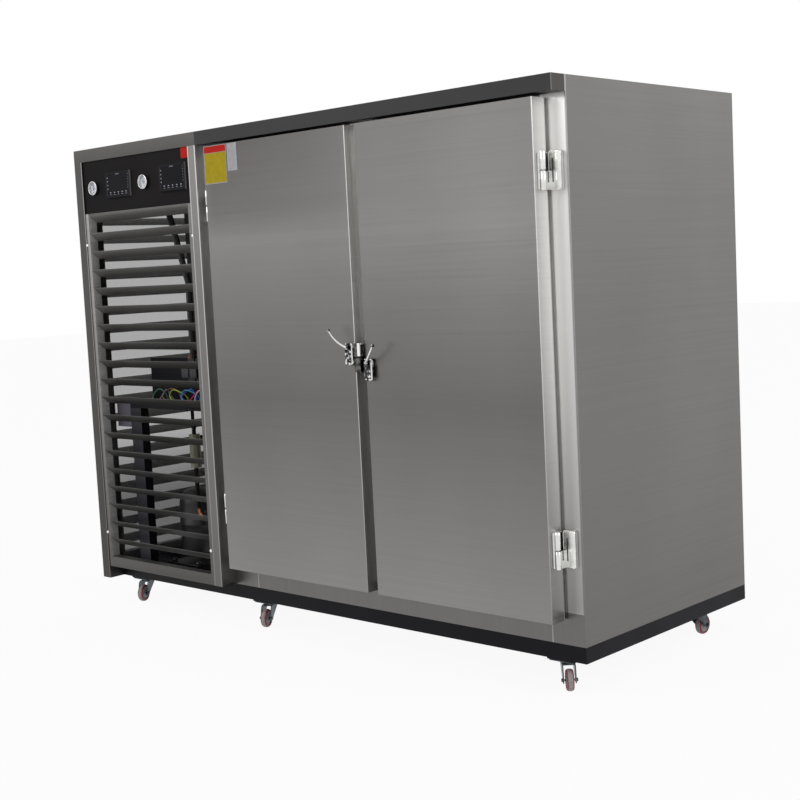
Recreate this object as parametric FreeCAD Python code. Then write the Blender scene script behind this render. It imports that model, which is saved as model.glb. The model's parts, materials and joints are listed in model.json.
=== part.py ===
import FreeCAD, Part
import math
import os

# Two-door quick-freezing cabinet of the shelf type, with its machine bay on the left.
# Right-handed frame in millimetres: X to the right seen from the front, Y to the back, Z up.
# The origin lies on the floor under the middle of the cabinet.

# ---------------------------------------------------------------- driving dimensions
# Whole cabinet
CABINET_WIDTH = 2600.0
BAY_WIDTH = 840.0
FRAME_DEPTH = 1038.0
BODY_HEIGHT = 1900.0
FRONT_PROJECTION = 75.0
FASCIA_HEIGHT = 53.0
SHEET = 1.5
WALL = 100.0
FRAME_MEMBER_DEPTH = 60.0
JAMB_STEP = 8.0

# Base frame
BASE_HEIGHT = 55.0
BASE_BEAM_WIDTH = 60.0
BASE_BEAM_WALL = 4.0
PAD_LENGTH = 110.0
PAD_WIDTH = 80.0
PAD_THICKNESS = 5.0
MIDDLE_BEAM_SHARE = 0.5

# Casters
WHEEL_DIAMETER = 75.0
WHEEL_WIDTH = 32.0
AXLE_DIAMETER = 8.0
AXLE_CLEARANCE = 0.3
FORK_TRAIL = 40.0
FORK_CROWN_CLEARANCE = 9.0
FORK_SHEET = 4.0
FORK_SIDE_CLEARANCE = 3.0
FORK_CROWN_LENGTH = 62.0
FORK_LEG_FOOT = 11.0
AXLE_HEAD_ACROSS = 13.0
AXLE_HEAD_HEIGHT = 5.0
RACE_RADIUS = 25.0
RACE_HEIGHT = 8.0
KINGPIN_RADIUS = 6.0
SWIVEL_CLEARANCE = 0.3
CASTER_PLATE_LENGTH = 95.0
CASTER_PLATE_WIDTH = 76.0
CASTER_PLATE_THICKNESS = 4.0
CASTER_FRONT_INSET = 40.0
CASTER_REAR_INSET = 228.0
CASTER_FRONT_RIGHT_INSET = 107.0
CASTER_REAR_RIGHT_INSET = 76.0
CASTER_LEFT_INSET = 168.0
CASTER_MIDDLE_OFFSET = 156.0
FRONT_RIGHT_TRAIL_ANGLE = -47.0
FRONT_LEFT_TRAIL_ANGLE = -65.0
REAR_TRAIL_ANGLE = 90.0

# Doors
DOOR_MARGIN_RIGHT = 76.0
DOOR_MARGIN_LEFT = 54.0
DOOR_GAP = 50.0
SILL_SHOWN = 84.0
DOOR_TOP_GAP = 11.0
GASKET_THICKNESS = 12.0
GASKET_WIDTH = 18.0
GASKET_INSET = 3.0
GASKET_CHAMFER = 3.0
CLOSED_GAP = 0.3
LINER_STEP = 6.0
LINER_BORDER = 60.0
MULLION_LAP = 32.0

# Hinges
HINGE_HEIGHT = 127.0
HINGE_TOP_INSET = 168.0
HINGE_BOTTOM_INSET = 179.0
HINGE_PIVOT_OUT = 18.0
HINGE_PIVOT_BACK = 21.0
KNUCKLE_RADIUS = 10.0
HINGE_PIN_RADIUS = 5.0
HINGE_PIN_CLEARANCE = 0.3
KNUCKLE_GAP = 0.4
DOOR_LEAF_THICKNESS = 4.0
DOOR_LEAF_DEPTH = 44.0
FRAME_LEAF_WIDTH = 47.0
FRAME_LEAF_NARROW = 34.0
FRAME_LEAF_THICKNESS = 15.0
FRAME_LEAF_CHAMFER = 5.0
HINGE_WEB = 8.0

# Latches
LATCH_CASE_WIDTH = 44.0
LATCH_CASE_HEIGHT = 81.0
LATCH_CASE_DEPTH = 18.0
LATCH_CASE_WALL = 3.0
LATCH_LEFT_RISE = 839.0
LATCH_RIGHT_RISE = 784.0
LATCH_PIVOT_DROP = 14.0
SPINDLE_RADIUS = 5.0
SPINDLE_CLEARANCE = 0.3
LEVER_HUB_RADIUS = 10.0
LEVER_HUB_LENGTH = 9.0
LEVER_SPREAD = 66.0
LEVER_RISE = 66.0
LEVER_REACH = 24.0
LEVER_SECTIONS = 6
LEVER_ROOT_WIDTH = 15.0
LEVER_TIP_WIDTH = 11.0
LEVER_THICKNESS = 5.0
TONGUE_LENGTH = 42.0
TONGUE_WIDTH = 14.0
TONGUE_THICKNESS = 8.0
TONGUE_CLEARANCE = 1.0
KEEPER_WIDTH = 30.0
KEEPER_WALL = 6.0

# Refrigerated shelves
SHELF_COUNT = 9
SHELF_PITCH = 165.0
FIRST_SHELF_RISE = 110.0
PLANK_COUNT = 6
PLANK_END_GAP = 7.0
PLANK_THICKNESS = 5.0
CHANNEL_RADIUS = 8.0
RETURN_BEND_REACH = 14.0
SHELF_END_CLEARANCE = 30.0
UPRIGHT = 30.0
UPRIGHT_WALL_GAP = 12.0
RUNNER_HEIGHT = 25.0
RUNNER_THICKNESS = 4.0
DRAIN_RADIUS = 16.0
DRAIN_WALL = 2.0
DRAIN_SLEEVE_WALL = 4.0
DRAIN_BELOW_BASE = 20.0
DRAIN_INSET = 50.0

# Machine bay frame and louvre grilles
BAY_POST_WIDTH = 52.0
BAY_INNER_POST_WIDTH = 48.0
BAY_REAR_POST = 60.0
BAY_POST_STAND = 40.0
TUBE_WALL = 2.0
LOUVRE_PITCH = 79.6
LOUVRE_FIRST_RISE = 114.0
SIDE_LOUVRE_SHIFT = -12.0
LOUVRE_DEPTH = 40.0
LOUVRE_DROP = 32.0
LOUVRE_SHEET = 1.5
GRILLE_STILE = 22.0
GRILLE_RAIL = 45.0
GRILLE_RECESS = 3.0
SCREEN_THICKNESS = 1.0
GLAND_PLATE_HEIGHT = 120.0

# Control panel
PANEL_HEIGHT = 225.0
PANEL_RECESS = 6.0
PANEL_RETURN = 40.0
CONTROLLER_WIDTH = 170.0
CONTROLLER_HEIGHT = 108.0
CONTROLLER_PROUD = 9.0
CONTROLLER_BACK = 60.0
CONTROLLER_FIT = 0.5
CONTROLLER_BEZEL = 9.0
CONTROLLER_RECESS = 2.0
CONTROLLER_RIGHT_INSET = 156.0
CONTROLLER_LEFT_INSET = 529.0
CONTROLLER_DROP = 113.0
GAUGE_DIAMETER = 60.0
GAUGE_PROUD = 14.0
GAUGE_BACK = 20.0
GAUGE_BEZEL = 4.0
GAUGE_DIAL_DEPTH = 11.0
GAUGE_GLASS = 2.0
GAUGE_RIGHT_INSET = 350.0
GAUGE_LEFT_INSET = 708.0
GAUGE_DROP = 117.0
NEEDLE_LENGTH = 21.0
NEEDLE_TAIL = 7.0
NEEDLE_WIDTH = 2.4
NEEDLE_THICKNESS = 1.0
NEEDLE_LIFT = 4.0
NEEDLE_HUB_RADIUS = 3.0
NEEDLE_PIN_RADIUS = 1.2
NEEDLE_CLEARANCE = 0.3

# Machinery in the bay
DECK_RISE = 710.0
DECK_DEPTH = 110.0
DECK_HEIGHT = 34.0
DECK_LEG_WIDTH = 75.0
DECK_LEG_DEPTH = 40.0
DECK_SETBACK = 12.0
DECK_LEFT_INSET = 170.0
JUNCTION_WIDTH = 100.0
JUNCTION_HEIGHT = 120.0
JUNCTION_DEPTH = 60.0
CONTACTOR_WIDTH = 45.0
CONTACTOR_DEPTH = 70.0
CONTACTOR_HEIGHT = 104.0
CONTACTOR_GAP = 8.0
CONTACTOR_COUNT = 2
CONTACTOR_SHOULDER_SHARE = 0.25
CONTACTOR_RISE = 79.0
CONTACTOR_INSET = 192.0
CONDUIT_RADIUS = 14.0
CONDUIT_SWEEP = 99.0
CONDUIT_DROP = 320.0
CONDUIT_BEND = 60.0
CONDENSER_LEFT_ROOM = 80.0
CONDENSER_HEIGHT = 700.0
CONDENSER_THICKNESS = 90.0
CONDENSER_SETBACK = 450.0
CONDENSER_RISE = 880.0
CONDENSER_FRAME = 25.0
CONDENSER_GAP = 20.0
FAN_RADIUS = 210.0
FAN_BLADES = 5
FAN_HUB_RADIUS = 45.0
FAN_HUB_DEPTH = 40.0
FAN_BLADE_SHEET = 2.0
FAN_BLADE_PITCH = 28.0
FAN_TIP_CLEARANCE = 12.0
FAN_ROOT_SHARE = 0.8
FAN_CHORD_SHARE = 0.9
FAN_ROOT_WIDTH = 60.0
FAN_TIP_WIDTH = 130.0
FAN_BORE_CLEARANCE = 0.3
FAN_ARM_CLEARANCE = 10.0
SHROUD_DEPTH = 80.0
SHROUD_SHEET = 2.0
MOTOR_RADIUS = 46.0
MOTOR_LENGTH = 90.0
MOTOR_SHAFT_RADIUS = 6.0
MOTOR_ARM = 20.0
COMPRESSOR_RADIUS = 85.0
COMPRESSOR_HEIGHT = 330.0
COMPRESSOR_DOME = 40.0
COMPRESSOR_FOOT = 210.0
COMPRESSOR_FOOT_THICKNESS = 6.0
MACHINE_RAIL = 40.0
COMPRESSOR_FRONT_SETBACK = 220.0
COMPRESSOR_REAR_SETBACK = 640.0
COMPRESSOR_PARTITION_GAP = 500.0
RECEIVER_RADIUS = 60.0
RECEIVER_HEIGHT = 420.0
RECEIVER_NECK = 25.0
DRIER_RADIUS = 24.0
DRIER_LENGTH = 146.0
DRIER_INSET = 297.0
DRIER_RISE = 443.0
LIQUID_RISE = 220.0
PIPE_RADIUS = 8.0
PIPE_BEND = 30.0
GLAND_RADIUS = 14.0
GLAND_BORE = 8.0
GLAND_NUT_ACROSS = 36.0
GLAND_NUT_HEIGHT = 10.0
GLAND_TAIL = 12.0
GLAND_INSET = 140.0

# ---------------------------------------------------------------- worked-out places
LATCH_REACH = FRONT_PROJECTION + LATCH_CASE_DEPTH + LEVER_HUB_LENGTH + LEVER_REACH
RIGHT = CABINET_WIDTH / 2
LEFT = -RIGHT
DIVIDE = LEFT + BAY_WIDTH
GLAND_REACH = GLAND_NUT_HEIGHT + GLAND_TAIL
FRONT = -(FRAME_DEPTH + GLAND_REACH - LATCH_REACH) / 2
FACE = FRONT - FRONT_PROJECTION
BACK = FRONT + FRAME_DEPTH
FORK_CROWN_LOW = WHEEL_DIAMETER + FORK_CROWN_CLEARANCE
RACE_LOW = FORK_CROWN_LOW + FORK_SHEET
PLATE_LOW = RACE_LOW + RACE_HEIGHT
PAD_LOW = PLATE_LOW + CASTER_PLATE_THICKNESS
BASE_LOW = PAD_LOW + PAD_THICKNESS
BASE_TOP = BASE_LOW + BASE_HEIGHT
TOP = BASE_LOW + BODY_HEIGHT
FASCIA_LOW = TOP - FASCIA_HEIGHT
INNER_LEFT = DIVIDE + WALL
INNER_RIGHT = RIGHT - WALL
INNER_FRONT = FRONT + FRAME_MEMBER_DEPTH
INNER_BACK = BACK - WALL
INNER_LOW = BASE_TOP + WALL
INNER_TOP = TOP - WALL
OPENING_LEFT = INNER_LEFT + JAMB_STEP
OPENING_RIGHT = INNER_RIGHT - JAMB_STEP
OPENING_LOW = INNER_LOW + JAMB_STEP
OPENING_TOP = INNER_TOP - JAMB_STEP
DOORS_LEFT = DIVIDE + DOOR_MARGIN_LEFT
DOORS_RIGHT = RIGHT - DOOR_MARGIN_RIGHT
DOOR_WIDTH = (DOORS_RIGHT - DOORS_LEFT - DOOR_GAP) / 2
MULLION_X = (DOORS_LEFT + DOORS_RIGHT) / 2
DOOR_LOW = BASE_TOP + SILL_SHOWN
DOOR_TOP = FASCIA_LOW - DOOR_TOP_GAP
DOOR_REAR = FRONT - GASKET_THICKNESS
ROOF_LOW = TOP - SHEET

X_AXIS = FreeCAD.Vector(1, 0, 0)
Y_AXIS = FreeCAD.Vector(0, 1, 0)
Z_AXIS = FreeCAD.Vector(0, 0, 1)
HERE = FreeCAD.Vector(0, 0, 0)
FULL_TURN = 360.0
HALF = 0.5
HEX_CORNERS = 6
PIN_SIDES = 10
ROUND_SIDES = 18
WHEEL_SIDES = 24
TUBE_SIDES = 8
BEND_CHORDS = 3


# ---------------------------------------------------------------- common operations
def block(x, y, z):
    """A box between the two values given for each direction."""
    size = [abs(pair[1] - pair[0]) for pair in (x, y, z)]
    return Part.makeBox(*size, FreeCAD.Vector(min(x), min(y), min(z)))


def box_tube(x, y, z, wall, along):
    """A hollow rectangular tube whose bore runs along one of the directions 0, 1 and 2."""
    spans = [list(x), list(y), list(z)]
    inner = [span if i == along else [min(span) + wall, max(span) - wall] for i, span in enumerate(spans)]
    return block(*spans).cut(block(*inner))


def open_box(x, y, z, wall, side, end):
    """A thin-walled box with one side open: side is the direction, end is 0 for low and 1 for high."""
    inner = [[min(span) + wall, max(span) - wall] for span in (x, y, z)]
    outer = (x, y, z)
    inner[side][end] = max(outer[side]) if end else min(outer[side])
    return block(x, y, z).cut(block(*inner))


def rod(radius, start, end):
    """A round bar between two points."""
    axis = end - start
    return Part.makeCylinder(radius, axis.Length, start, axis)


def plate(points, depth):
    """A flat plate: an outline of points pushed along the vector depth."""
    wire = Part.makePolygon(list(points) + [points[0]])
    return Part.Face(wire).extrude(depth)


def bar(radius, start, end, sides):
    """A straight bar whose round is drawn with flats, for small pieces that repeat."""
    axis = end - start
    corners = ring_points(radius, start, axis, sides)
    return plate(corners, axis)


def bore(radius, start, end):
    """A straight hole with flats that just touch a round of the radius given."""
    return bar(radius / math.cos(math.pi / PIN_SIDES), start, end, PIN_SIDES)


def ring_points(radius, centre, axis, sides):
    """Evenly spaced points on a circle about an axis."""
    turn = FreeCAD.Rotation(Z_AXIS, axis)
    points = []
    for i in range(sides):
        angle = math.radians((i + HALF) * FULL_TURN / sides)
        points.append(centre + turn.multVec(FreeCAD.Vector(math.cos(angle), math.sin(angle), 0) * radius))
    return points


def through_rings(rings):
    """A solid whose flat sides join each ring of points to the next, closed by its two end rings."""
    faces = [Part.Face(Part.makePolygon(ring + [ring[0]])) for ring in (rings[0], rings[-1])]
    for low, high in zip(rings, rings[1:]):
        for i in range(len(low)):
            corners = [low[i - 1], low[i], high[i], high[i - 1], low[i - 1]]
            faces.append(Part.Face(Part.makePolygon(corners)))
    solid = Part.Solid(Part.Shell(faces))
    if solid.Volume < 0:
        solid.reverse()
    return solid


def stack(profile, start, axis, sides):
    """A closed form about an axis, with a ring at each (radius, height) of its profile."""
    unit = FreeCAD.Vector(axis).normalize()
    rings = [ring_points(radius, start + unit * height, axis, sides) for radius, height in profile]
    return through_rings(rings)


def bent_tube(points, radius, bend):
    """A tube with flats along straight runs, its corners rounded by mitred chords of one bend radius."""
    path = [points[0]]
    for before, corner, after in zip(points, points[1:], points[2:]):
        into = (corner - before).normalize()
        out = (after - corner).normalize()
        turn = into.getAngle(out)
        across = into.cross(out)
        first = corner - into * (bend * math.tan(turn / 2))
        centre = first + (out - into * into.dot(out)).normalize() * bend
        for i in range(BEND_CHORDS + 1):
            part_turn = FreeCAD.Rotation(across, math.degrees(turn * i / BEND_CHORDS))
            path.append(centre + part_turn.multVec(first - centre))
    path.append(points[-1])
    direction = (path[1] - path[0]).normalize()
    rings = [ring_points(radius, path[0], direction, TUBE_SIDES)]
    for here, after in zip(path[1:], path[2:] + [None]):
        onward = direction if after is None else (after - here).normalize()
        mitre = direction + onward
        slide = [(here - point).dot(mitre) / direction.dot(mitre) for point in rings[-1]]
        rings.append([point + direction * length for point, length in zip(rings[-1], slide)])
        direction = onward
    return through_rings(rings)


def save(name, *solids):
    """Writes one sub-part, which may be several separate solids, as its own file."""
    shape = solids[0] if len(solids) == 1 else Part.makeCompound(list(solids))
    shape.exportStep("parts/" + name + ".step")


os.makedirs("parts", exist_ok=True)


# ---------------------------------------------------------------- casters
CASTER_FRONT_Y = FRONT + CASTER_FRONT_INSET
CASTER_REAR_Y = BACK - CASTER_REAR_INSET
CASTER_FRONT_RIGHT_X = RIGHT - CASTER_FRONT_RIGHT_INSET
CASTER_REAR_RIGHT_X = RIGHT - CASTER_REAR_RIGHT_INSET
CASTER_LEFT_X = LEFT + CASTER_LEFT_INSET
CASTER_MIDDLE_X = DIVIDE + CASTER_MIDDLE_OFFSET
CASTERS = {
    "front_left": (CASTER_LEFT_X, CASTER_FRONT_Y, FRONT_LEFT_TRAIL_ANGLE),
    "front_middle": (CASTER_MIDDLE_X, CASTER_FRONT_Y, FRONT_LEFT_TRAIL_ANGLE),
    "front_right": (CASTER_FRONT_RIGHT_X, CASTER_FRONT_Y, FRONT_RIGHT_TRAIL_ANGLE),
    "rear_left": (CASTER_LEFT_X, CASTER_REAR_Y, REAR_TRAIL_ANGLE),
    "rear_middle": (CASTER_MIDDLE_X, CASTER_REAR_Y, REAR_TRAIL_ANGLE),
    "rear_right": (CASTER_REAR_RIGHT_X, CASTER_REAR_Y, REAR_TRAIL_ANGLE),
}


def set_at(shape, x, y, angle):
    """Turns a caster piece, modelled with its trail along +X, to its angle and puts it in place."""
    turn = FreeCAD.Placement(FreeCAD.Vector(x, y, 0), FreeCAD.Rotation(Z_AXIS, angle))
    shape.Placement = turn.multiply(shape.Placement)
    return shape


def caster_fork():
    """A pressed fork: crown, two legs that slant back to the axle, the kingpin and the axle bolt."""
    inside = WHEEL_WIDTH / 2 + FORK_SIDE_CLEARANCE
    outside = inside + FORK_SHEET
    crown_top = FORK_CROWN_LOW + FORK_SHEET
    half = FORK_CROWN_LENGTH / 2
    axle_z = WHEEL_DIAMETER / 2
    foot = FORK_LEG_FOOT
    crown = block((-half, half), (-outside, outside), (FORK_CROWN_LOW, crown_top))
    outline = [
        FreeCAD.Vector(-half, 0, FORK_CROWN_LOW),
        FreeCAD.Vector(FORK_TRAIL - foot, 0, axle_z - foot / 2),
        FreeCAD.Vector(FORK_TRAIL - foot / 2, 0, axle_z - foot),
        FreeCAD.Vector(FORK_TRAIL + foot / 2, 0, axle_z - foot),
        FreeCAD.Vector(FORK_TRAIL + foot, 0, axle_z - foot / 2),
        FreeCAD.Vector(half + foot / 2, 0, FORK_CROWN_LOW),
    ]
    fork = crown
    for low in (-outside, inside):
        leg = plate([point + Y_AXIS * low for point in outline], Y_AXIS * FORK_SHEET)
        fork = fork.fuse(leg)
    reach = outside + AXLE_HEAD_HEIGHT
    axle_ends = [FreeCAD.Vector(FORK_TRAIL, side * (inside + FORK_SHEET / 2), axle_z) for side in (-1, 1)]
    fork = fork.fuse(bar(AXLE_DIAMETER / 2, axle_ends[0], axle_ends[1], PIN_SIDES))
    for side in (-1, 1):
        middle = FreeCAD.Vector(FORK_TRAIL, side * outside, axle_z)
        head = bar(AXLE_HEAD_ACROSS / 2, middle, middle + Y_AXIS * (side * (reach - outside)), HEX_CORNERS)
        fork = fork.fuse(head)
    kingpin = bar(KINGPIN_RADIUS, Z_AXIS * crown_top, Z_AXIS * (PLATE_LOW - SWIVEL_CLEARANCE), PIN_SIDES)
    return fork.fuse(kingpin).removeSplitter()


def caster_wheel():
    """A plain wheel with its bore."""
    centre = FreeCAD.Vector(FORK_TRAIL, 0, WHEEL_DIAMETER / 2)
    half = Y_AXIS * (WHEEL_WIDTH / 2)
    wheel = bar(WHEEL_DIAMETER / 2, centre - half, centre + half, WHEEL_SIDES)
    return wheel.cut(bore(AXLE_DIAMETER / 2 + AXLE_CLEARANCE, centre - half, centre + half))


def caster_top(x, y):
    """The fixed half of a caster: bolting plate and the cover of the ball race, with the kingpin's hole."""
    flat = block(
        (x - CASTER_PLATE_LENGTH / 2, x + CASTER_PLATE_LENGTH / 2),
        (y - CASTER_PLATE_WIDTH / 2, y + CASTER_PLATE_WIDTH / 2),
        (PLATE_LOW, PAD_LOW),
    )
    race_foot = FreeCAD.Vector(x, y, RACE_LOW + SWIVEL_CLEARANCE)
    race_top = FreeCAD.Vector(x, y, PLATE_LOW)
    race = rod(RACE_RADIUS, race_foot, race_top)
    hole = bore(KINGPIN_RADIUS + SWIVEL_CLEARANCE, race_foot, race_top)
    return flat.fuse(race.cut(hole))


for place, (x, y, angle) in CASTERS.items():
    save("fork_" + place, set_at(caster_fork(), x, y, angle))
    save("wheel_" + place, set_at(caster_wheel(), x, y, angle))
save("caster_top_plates", *[caster_top(x, y) for x, y, angle in CASTERS.values()])


# ---------------------------------------------------------------- base frame
beam_z = (BASE_LOW, BASE_TOP)
beam_y = (FRONT + BASE_BEAM_WIDTH, BACK - BASE_BEAM_WIDTH)
base_pieces = []
for beam_front in (FRONT, BACK - BASE_BEAM_WIDTH):
    beam_rear = beam_front + BASE_BEAM_WIDTH
    base_pieces.append(box_tube((LEFT, RIGHT), (beam_front, beam_rear), beam_z, BASE_BEAM_WALL, 0))
    bore_y = (beam_front + BASE_BEAM_WALL, beam_rear - BASE_BEAM_WALL)
    bore_z = (BASE_LOW + BASE_BEAM_WALL, BASE_TOP - BASE_BEAM_WALL)
    for end in ((LEFT, LEFT + BASE_BEAM_WALL), (RIGHT - BASE_BEAM_WALL, RIGHT)):
        base_pieces.append(block(end, bore_y, bore_z))
bay_middle = LEFT + (DIVIDE - LEFT) * MIDDLE_BEAM_SHARE
cross_beams = [
    LEFT + BASE_BEAM_WIDTH / 2,
    bay_middle,
    DIVIDE,
    MULLION_X,
    RIGHT - BASE_BEAM_WIDTH / 2,
]
half_beam = BASE_BEAM_WIDTH / 2
for middle in cross_beams:
    span = (middle - half_beam, middle + half_beam)
    base_pieces.append(box_tube(span, beam_y, beam_z, BASE_BEAM_WALL, 1))
caster_beam_y = (CASTER_REAR_Y - half_beam, CASTER_REAR_Y + half_beam)
for left, right in zip(cross_beams, cross_beams[1:]):
    span = (left + half_beam, right - half_beam)
    base_pieces.append(box_tube(span, caster_beam_y, beam_z, BASE_BEAM_WALL, 0))
for x, y, angle in CASTERS.values():
    pad_x = (x - PAD_LENGTH / 2, x + PAD_LENGTH / 2)
    pad_y = (y - PAD_WIDTH / 2, y + PAD_WIDTH / 2)
    base_pieces.append(block(pad_x, pad_y, (PAD_LOW, BASE_LOW)))
rail_z = (BASE_TOP - MACHINE_RAIL, BASE_TOP)
bay_bays = (
    (LEFT + BASE_BEAM_WIDTH, bay_middle - BASE_BEAM_WIDTH / 2),
    (bay_middle + BASE_BEAM_WIDTH / 2, DIVIDE - BASE_BEAM_WIDTH / 2),
)
rail_middles = [FRONT + CONDENSER_SETBACK + CONDENSER_THICKNESS / 2]
for setback in (COMPRESSOR_FRONT_SETBACK, COMPRESSOR_REAR_SETBACK):
    for side in (-1, 1):
        rail_middles.append(FRONT + setback + side * (COMPRESSOR_FOOT - MACHINE_RAIL) / 2)
for middle in rail_middles:
    spot = (middle - MACHINE_RAIL / 2, middle + MACHINE_RAIL / 2)
    for span in bay_bays:
        base_pieces.append(box_tube(span, spot, rail_z, BASE_BEAM_WALL, 0))
save("base_frame", *base_pieces)


# ---------------------------------------------------------------- insulated chamber
side_z = (BASE_TOP, ROOF_LOW)
rear_inner = BACK - SHEET


skin_y = (FRONT, rear_inner)
foam_back = rear_inner
drain_x = (MULLION_X + INNER_RIGHT) / 2
drain_y = INNER_BACK - DRAIN_INSET
drain_top = FreeCAD.Vector(drain_x, drain_y, INNER_LOW - SHEET)
drain_foot = FreeCAD.Vector(drain_x, drain_y, BASE_LOW - DRAIN_BELOW_BASE)
underside = block((DIVIDE + SHEET, RIGHT - SHEET), (INNER_FRONT, foam_back), (BASE_TOP, BASE_TOP + SHEET))
drain_seat = FreeCAD.Vector(drain_x, drain_y, BASE_TOP)
drain_sleeve = bar(DRAIN_RADIUS + DRAIN_SLEEVE_WALL, drain_seat, drain_top, ROUND_SIDES)
right_skin = block((RIGHT - SHEET, RIGHT), skin_y, side_z)
partition = block((DIVIDE, DIVIDE + SHEET), skin_y, side_z)
rear_skin = block((DIVIDE, RIGHT), (rear_inner, BACK), side_z)
save("chamber_outer_panels", right_skin, rear_skin, partition, underside.cut(drain_sleeve))
roof_z = (ROOF_LOW, TOP)
chamber_roof = block((DIVIDE, RIGHT), (FRONT, BACK), roof_z)
bay_roof = block((LEFT, DIVIDE), (FRONT, BACK), roof_z)
save("roof_panels", chamber_roof, bay_roof)

# Front frame: channels folded from sheet and open to the foam behind them, and the post between the doors
post_z = (BASE_TOP, ROOF_LOW)
frame_y = (FRONT, INNER_FRONT)
left_post_x = (DIVIDE + SHEET, OPENING_LEFT)
right_post_x = (OPENING_RIGHT, RIGHT - SHEET)
between_x = (OPENING_LEFT, OPENING_RIGHT)
mullion_x = (MULLION_X - DOOR_GAP / 2 - MULLION_LAP, MULLION_X + DOOR_GAP / 2 + MULLION_LAP)
opening_z = (OPENING_LOW, OPENING_TOP)
frame_spans = [
    (left_post_x, post_z),
    (right_post_x, post_z),
    (between_x, (BASE_TOP, OPENING_LOW)),
    (between_x, (OPENING_TOP, ROOF_LOW)),
]
frame_channels = [open_box(x, frame_y, z, SHEET, 1, 1) for x, z in frame_spans]
save("front_frame", *frame_channels, box_tube(mullion_x, frame_y, opening_z, SHEET, 2))

# Foam: one slab in each wall, and a filling in each channel of the front frame
foam_y = (INNER_FRONT, foam_back)
side_foam_z = (BASE_TOP + SHEET, ROOF_LOW)
foam_inner_left = INNER_LEFT - SHEET
foam_inner_right = INNER_RIGHT + SHEET
foam_inner_back = INNER_BACK + SHEET
between_foam = (foam_inner_left, foam_inner_right)
floor_foam = block(between_foam, (INNER_FRONT, foam_inner_back), (BASE_TOP + SHEET, INNER_LOW - SHEET))
foam_slabs = [
    block((DIVIDE + SHEET, foam_inner_left), foam_y, side_foam_z),
    block((foam_inner_right, RIGHT - SHEET), foam_y, side_foam_z),
    block(between_foam, (foam_inner_back, foam_back), side_foam_z),
    block(between_foam, (INNER_FRONT, foam_inner_back), (INNER_TOP + SHEET, ROOF_LOW)),
    floor_foam.cut(drain_sleeve),
]
for x, z in frame_spans:
    filled_x = (x[0] + SHEET, x[1] - SHEET)
    filled_z = (z[0] + SHEET, z[1] - SHEET)
    foam_slabs.append(block(filled_x, (FRONT + SHEET, INNER_FRONT), filled_z))
save("foam_insulation", *foam_slabs)

# Liner: five welded sheets, and the drain: a thick sleeve through the floor, with the hose's spigot below it
liner_y = (INNER_FRONT, INNER_BACK)
liner_back = (INNER_BACK, foam_inner_back)
wall_z = (INNER_LOW, INNER_TOP)
full_liner_x = (foam_inner_left, foam_inner_right)
floor_sheet = block(full_liner_x, (INNER_FRONT, foam_inner_back), (INNER_LOW - SHEET, INNER_LOW))
drain = drain_sleeve.fuse(rod(DRAIN_RADIUS, drain_foot, drain_seat))
drain_bore = bar(DRAIN_RADIUS - DRAIN_WALL, drain_foot, drain_top + Z_AXIS * SHEET, ROUND_SIDES)
save(
    "inner_liner",
    block((foam_inner_left, INNER_LEFT), liner_y, wall_z),
    block((INNER_RIGHT, foam_inner_right), liner_y, wall_z),
    block(full_liner_x, liner_back, wall_z),
    block(full_liner_x, (INNER_FRONT, foam_inner_back), (INNER_TOP, INNER_TOP + SHEET)),
    floor_sheet.cut(drain_bore),
    drain.cut(drain_bore),
)

# Fascia over the chamber: a folded channel, open to the frame behind it
fascia_y = (FACE, FRONT)
fascia_z = (FASCIA_LOW, TOP)
save("top_fascia", open_box((DIVIDE, RIGHT), fascia_y, fascia_z, SHEET, 1, 1))


# ---------------------------------------------------------------- refrigerated shelves
shelf_inset = UPRIGHT_WALL_GAP + UPRIGHT + PLANK_END_GAP
shelf_front = INNER_FRONT + shelf_inset
shelf_depth = INNER_BACK - shelf_inset - shelf_front
plank_width = shelf_depth / PLANK_COUNT
plank_left = INNER_LEFT + SHELF_END_CLEARANCE + RETURN_BEND_REACH
plank_right = INNER_RIGHT - SHELF_END_CLEARANCE - RETURN_BEND_REACH


def shelf():
    """One shelf: planks edge to edge with a refrigerant channel under each, joined by return bends."""
    back = shelf_front + shelf_depth
    outline = [(back, -PLANK_THICKNESS), (back, 0), (shelf_front, 0), (shelf_front, -PLANK_THICKNESS)]
    channels = [shelf_front + (i + HALF) * plank_width for i in range(PLANK_COUNT)]
    low = -PLANK_THICKNESS - CHANNEL_RADIUS
    for middle in channels:
        outline.append((middle - CHANNEL_RADIUS, -PLANK_THICKNESS))
        outline.append((middle - CHANNEL_RADIUS / 2, low))
        outline.append((middle + CHANNEL_RADIUS / 2, low))
        outline.append((middle + CHANNEL_RADIUS, -PLANK_THICKNESS))
    points = [FreeCAD.Vector(plank_left, y, z) for y, z in outline]
    joined = plate(points, X_AXIS * (plank_right - plank_left))
    bends = []
    for i, (near, far) in enumerate(zip(channels, channels[1:])):
        end, outward = (plank_right, 1) if i % 2 == 0 else (plank_left, -1)
        bend_x = (end, end + outward * RETURN_BEND_REACH)
        bend_y = (near - CHANNEL_RADIUS / 2, far + CHANNEL_RADIUS / 2)
        bends.append(block(bend_x, bend_y, (low, -PLANK_THICKNESS * HALF)))
    return joined.fuse(bends)


SHELF_LEVELS = [INNER_LOW + FIRST_SHELF_RISE + i * SHELF_PITCH for i in range(SHELF_COUNT)]
one_shelf = shelf()
shelves = []
for level in SHELF_LEVELS:
    copy = one_shelf.copy()
    copy.translate(Z_AXIS * level)
    shelves.append(copy)
save("evaporator_shelves", *shelves)

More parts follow.
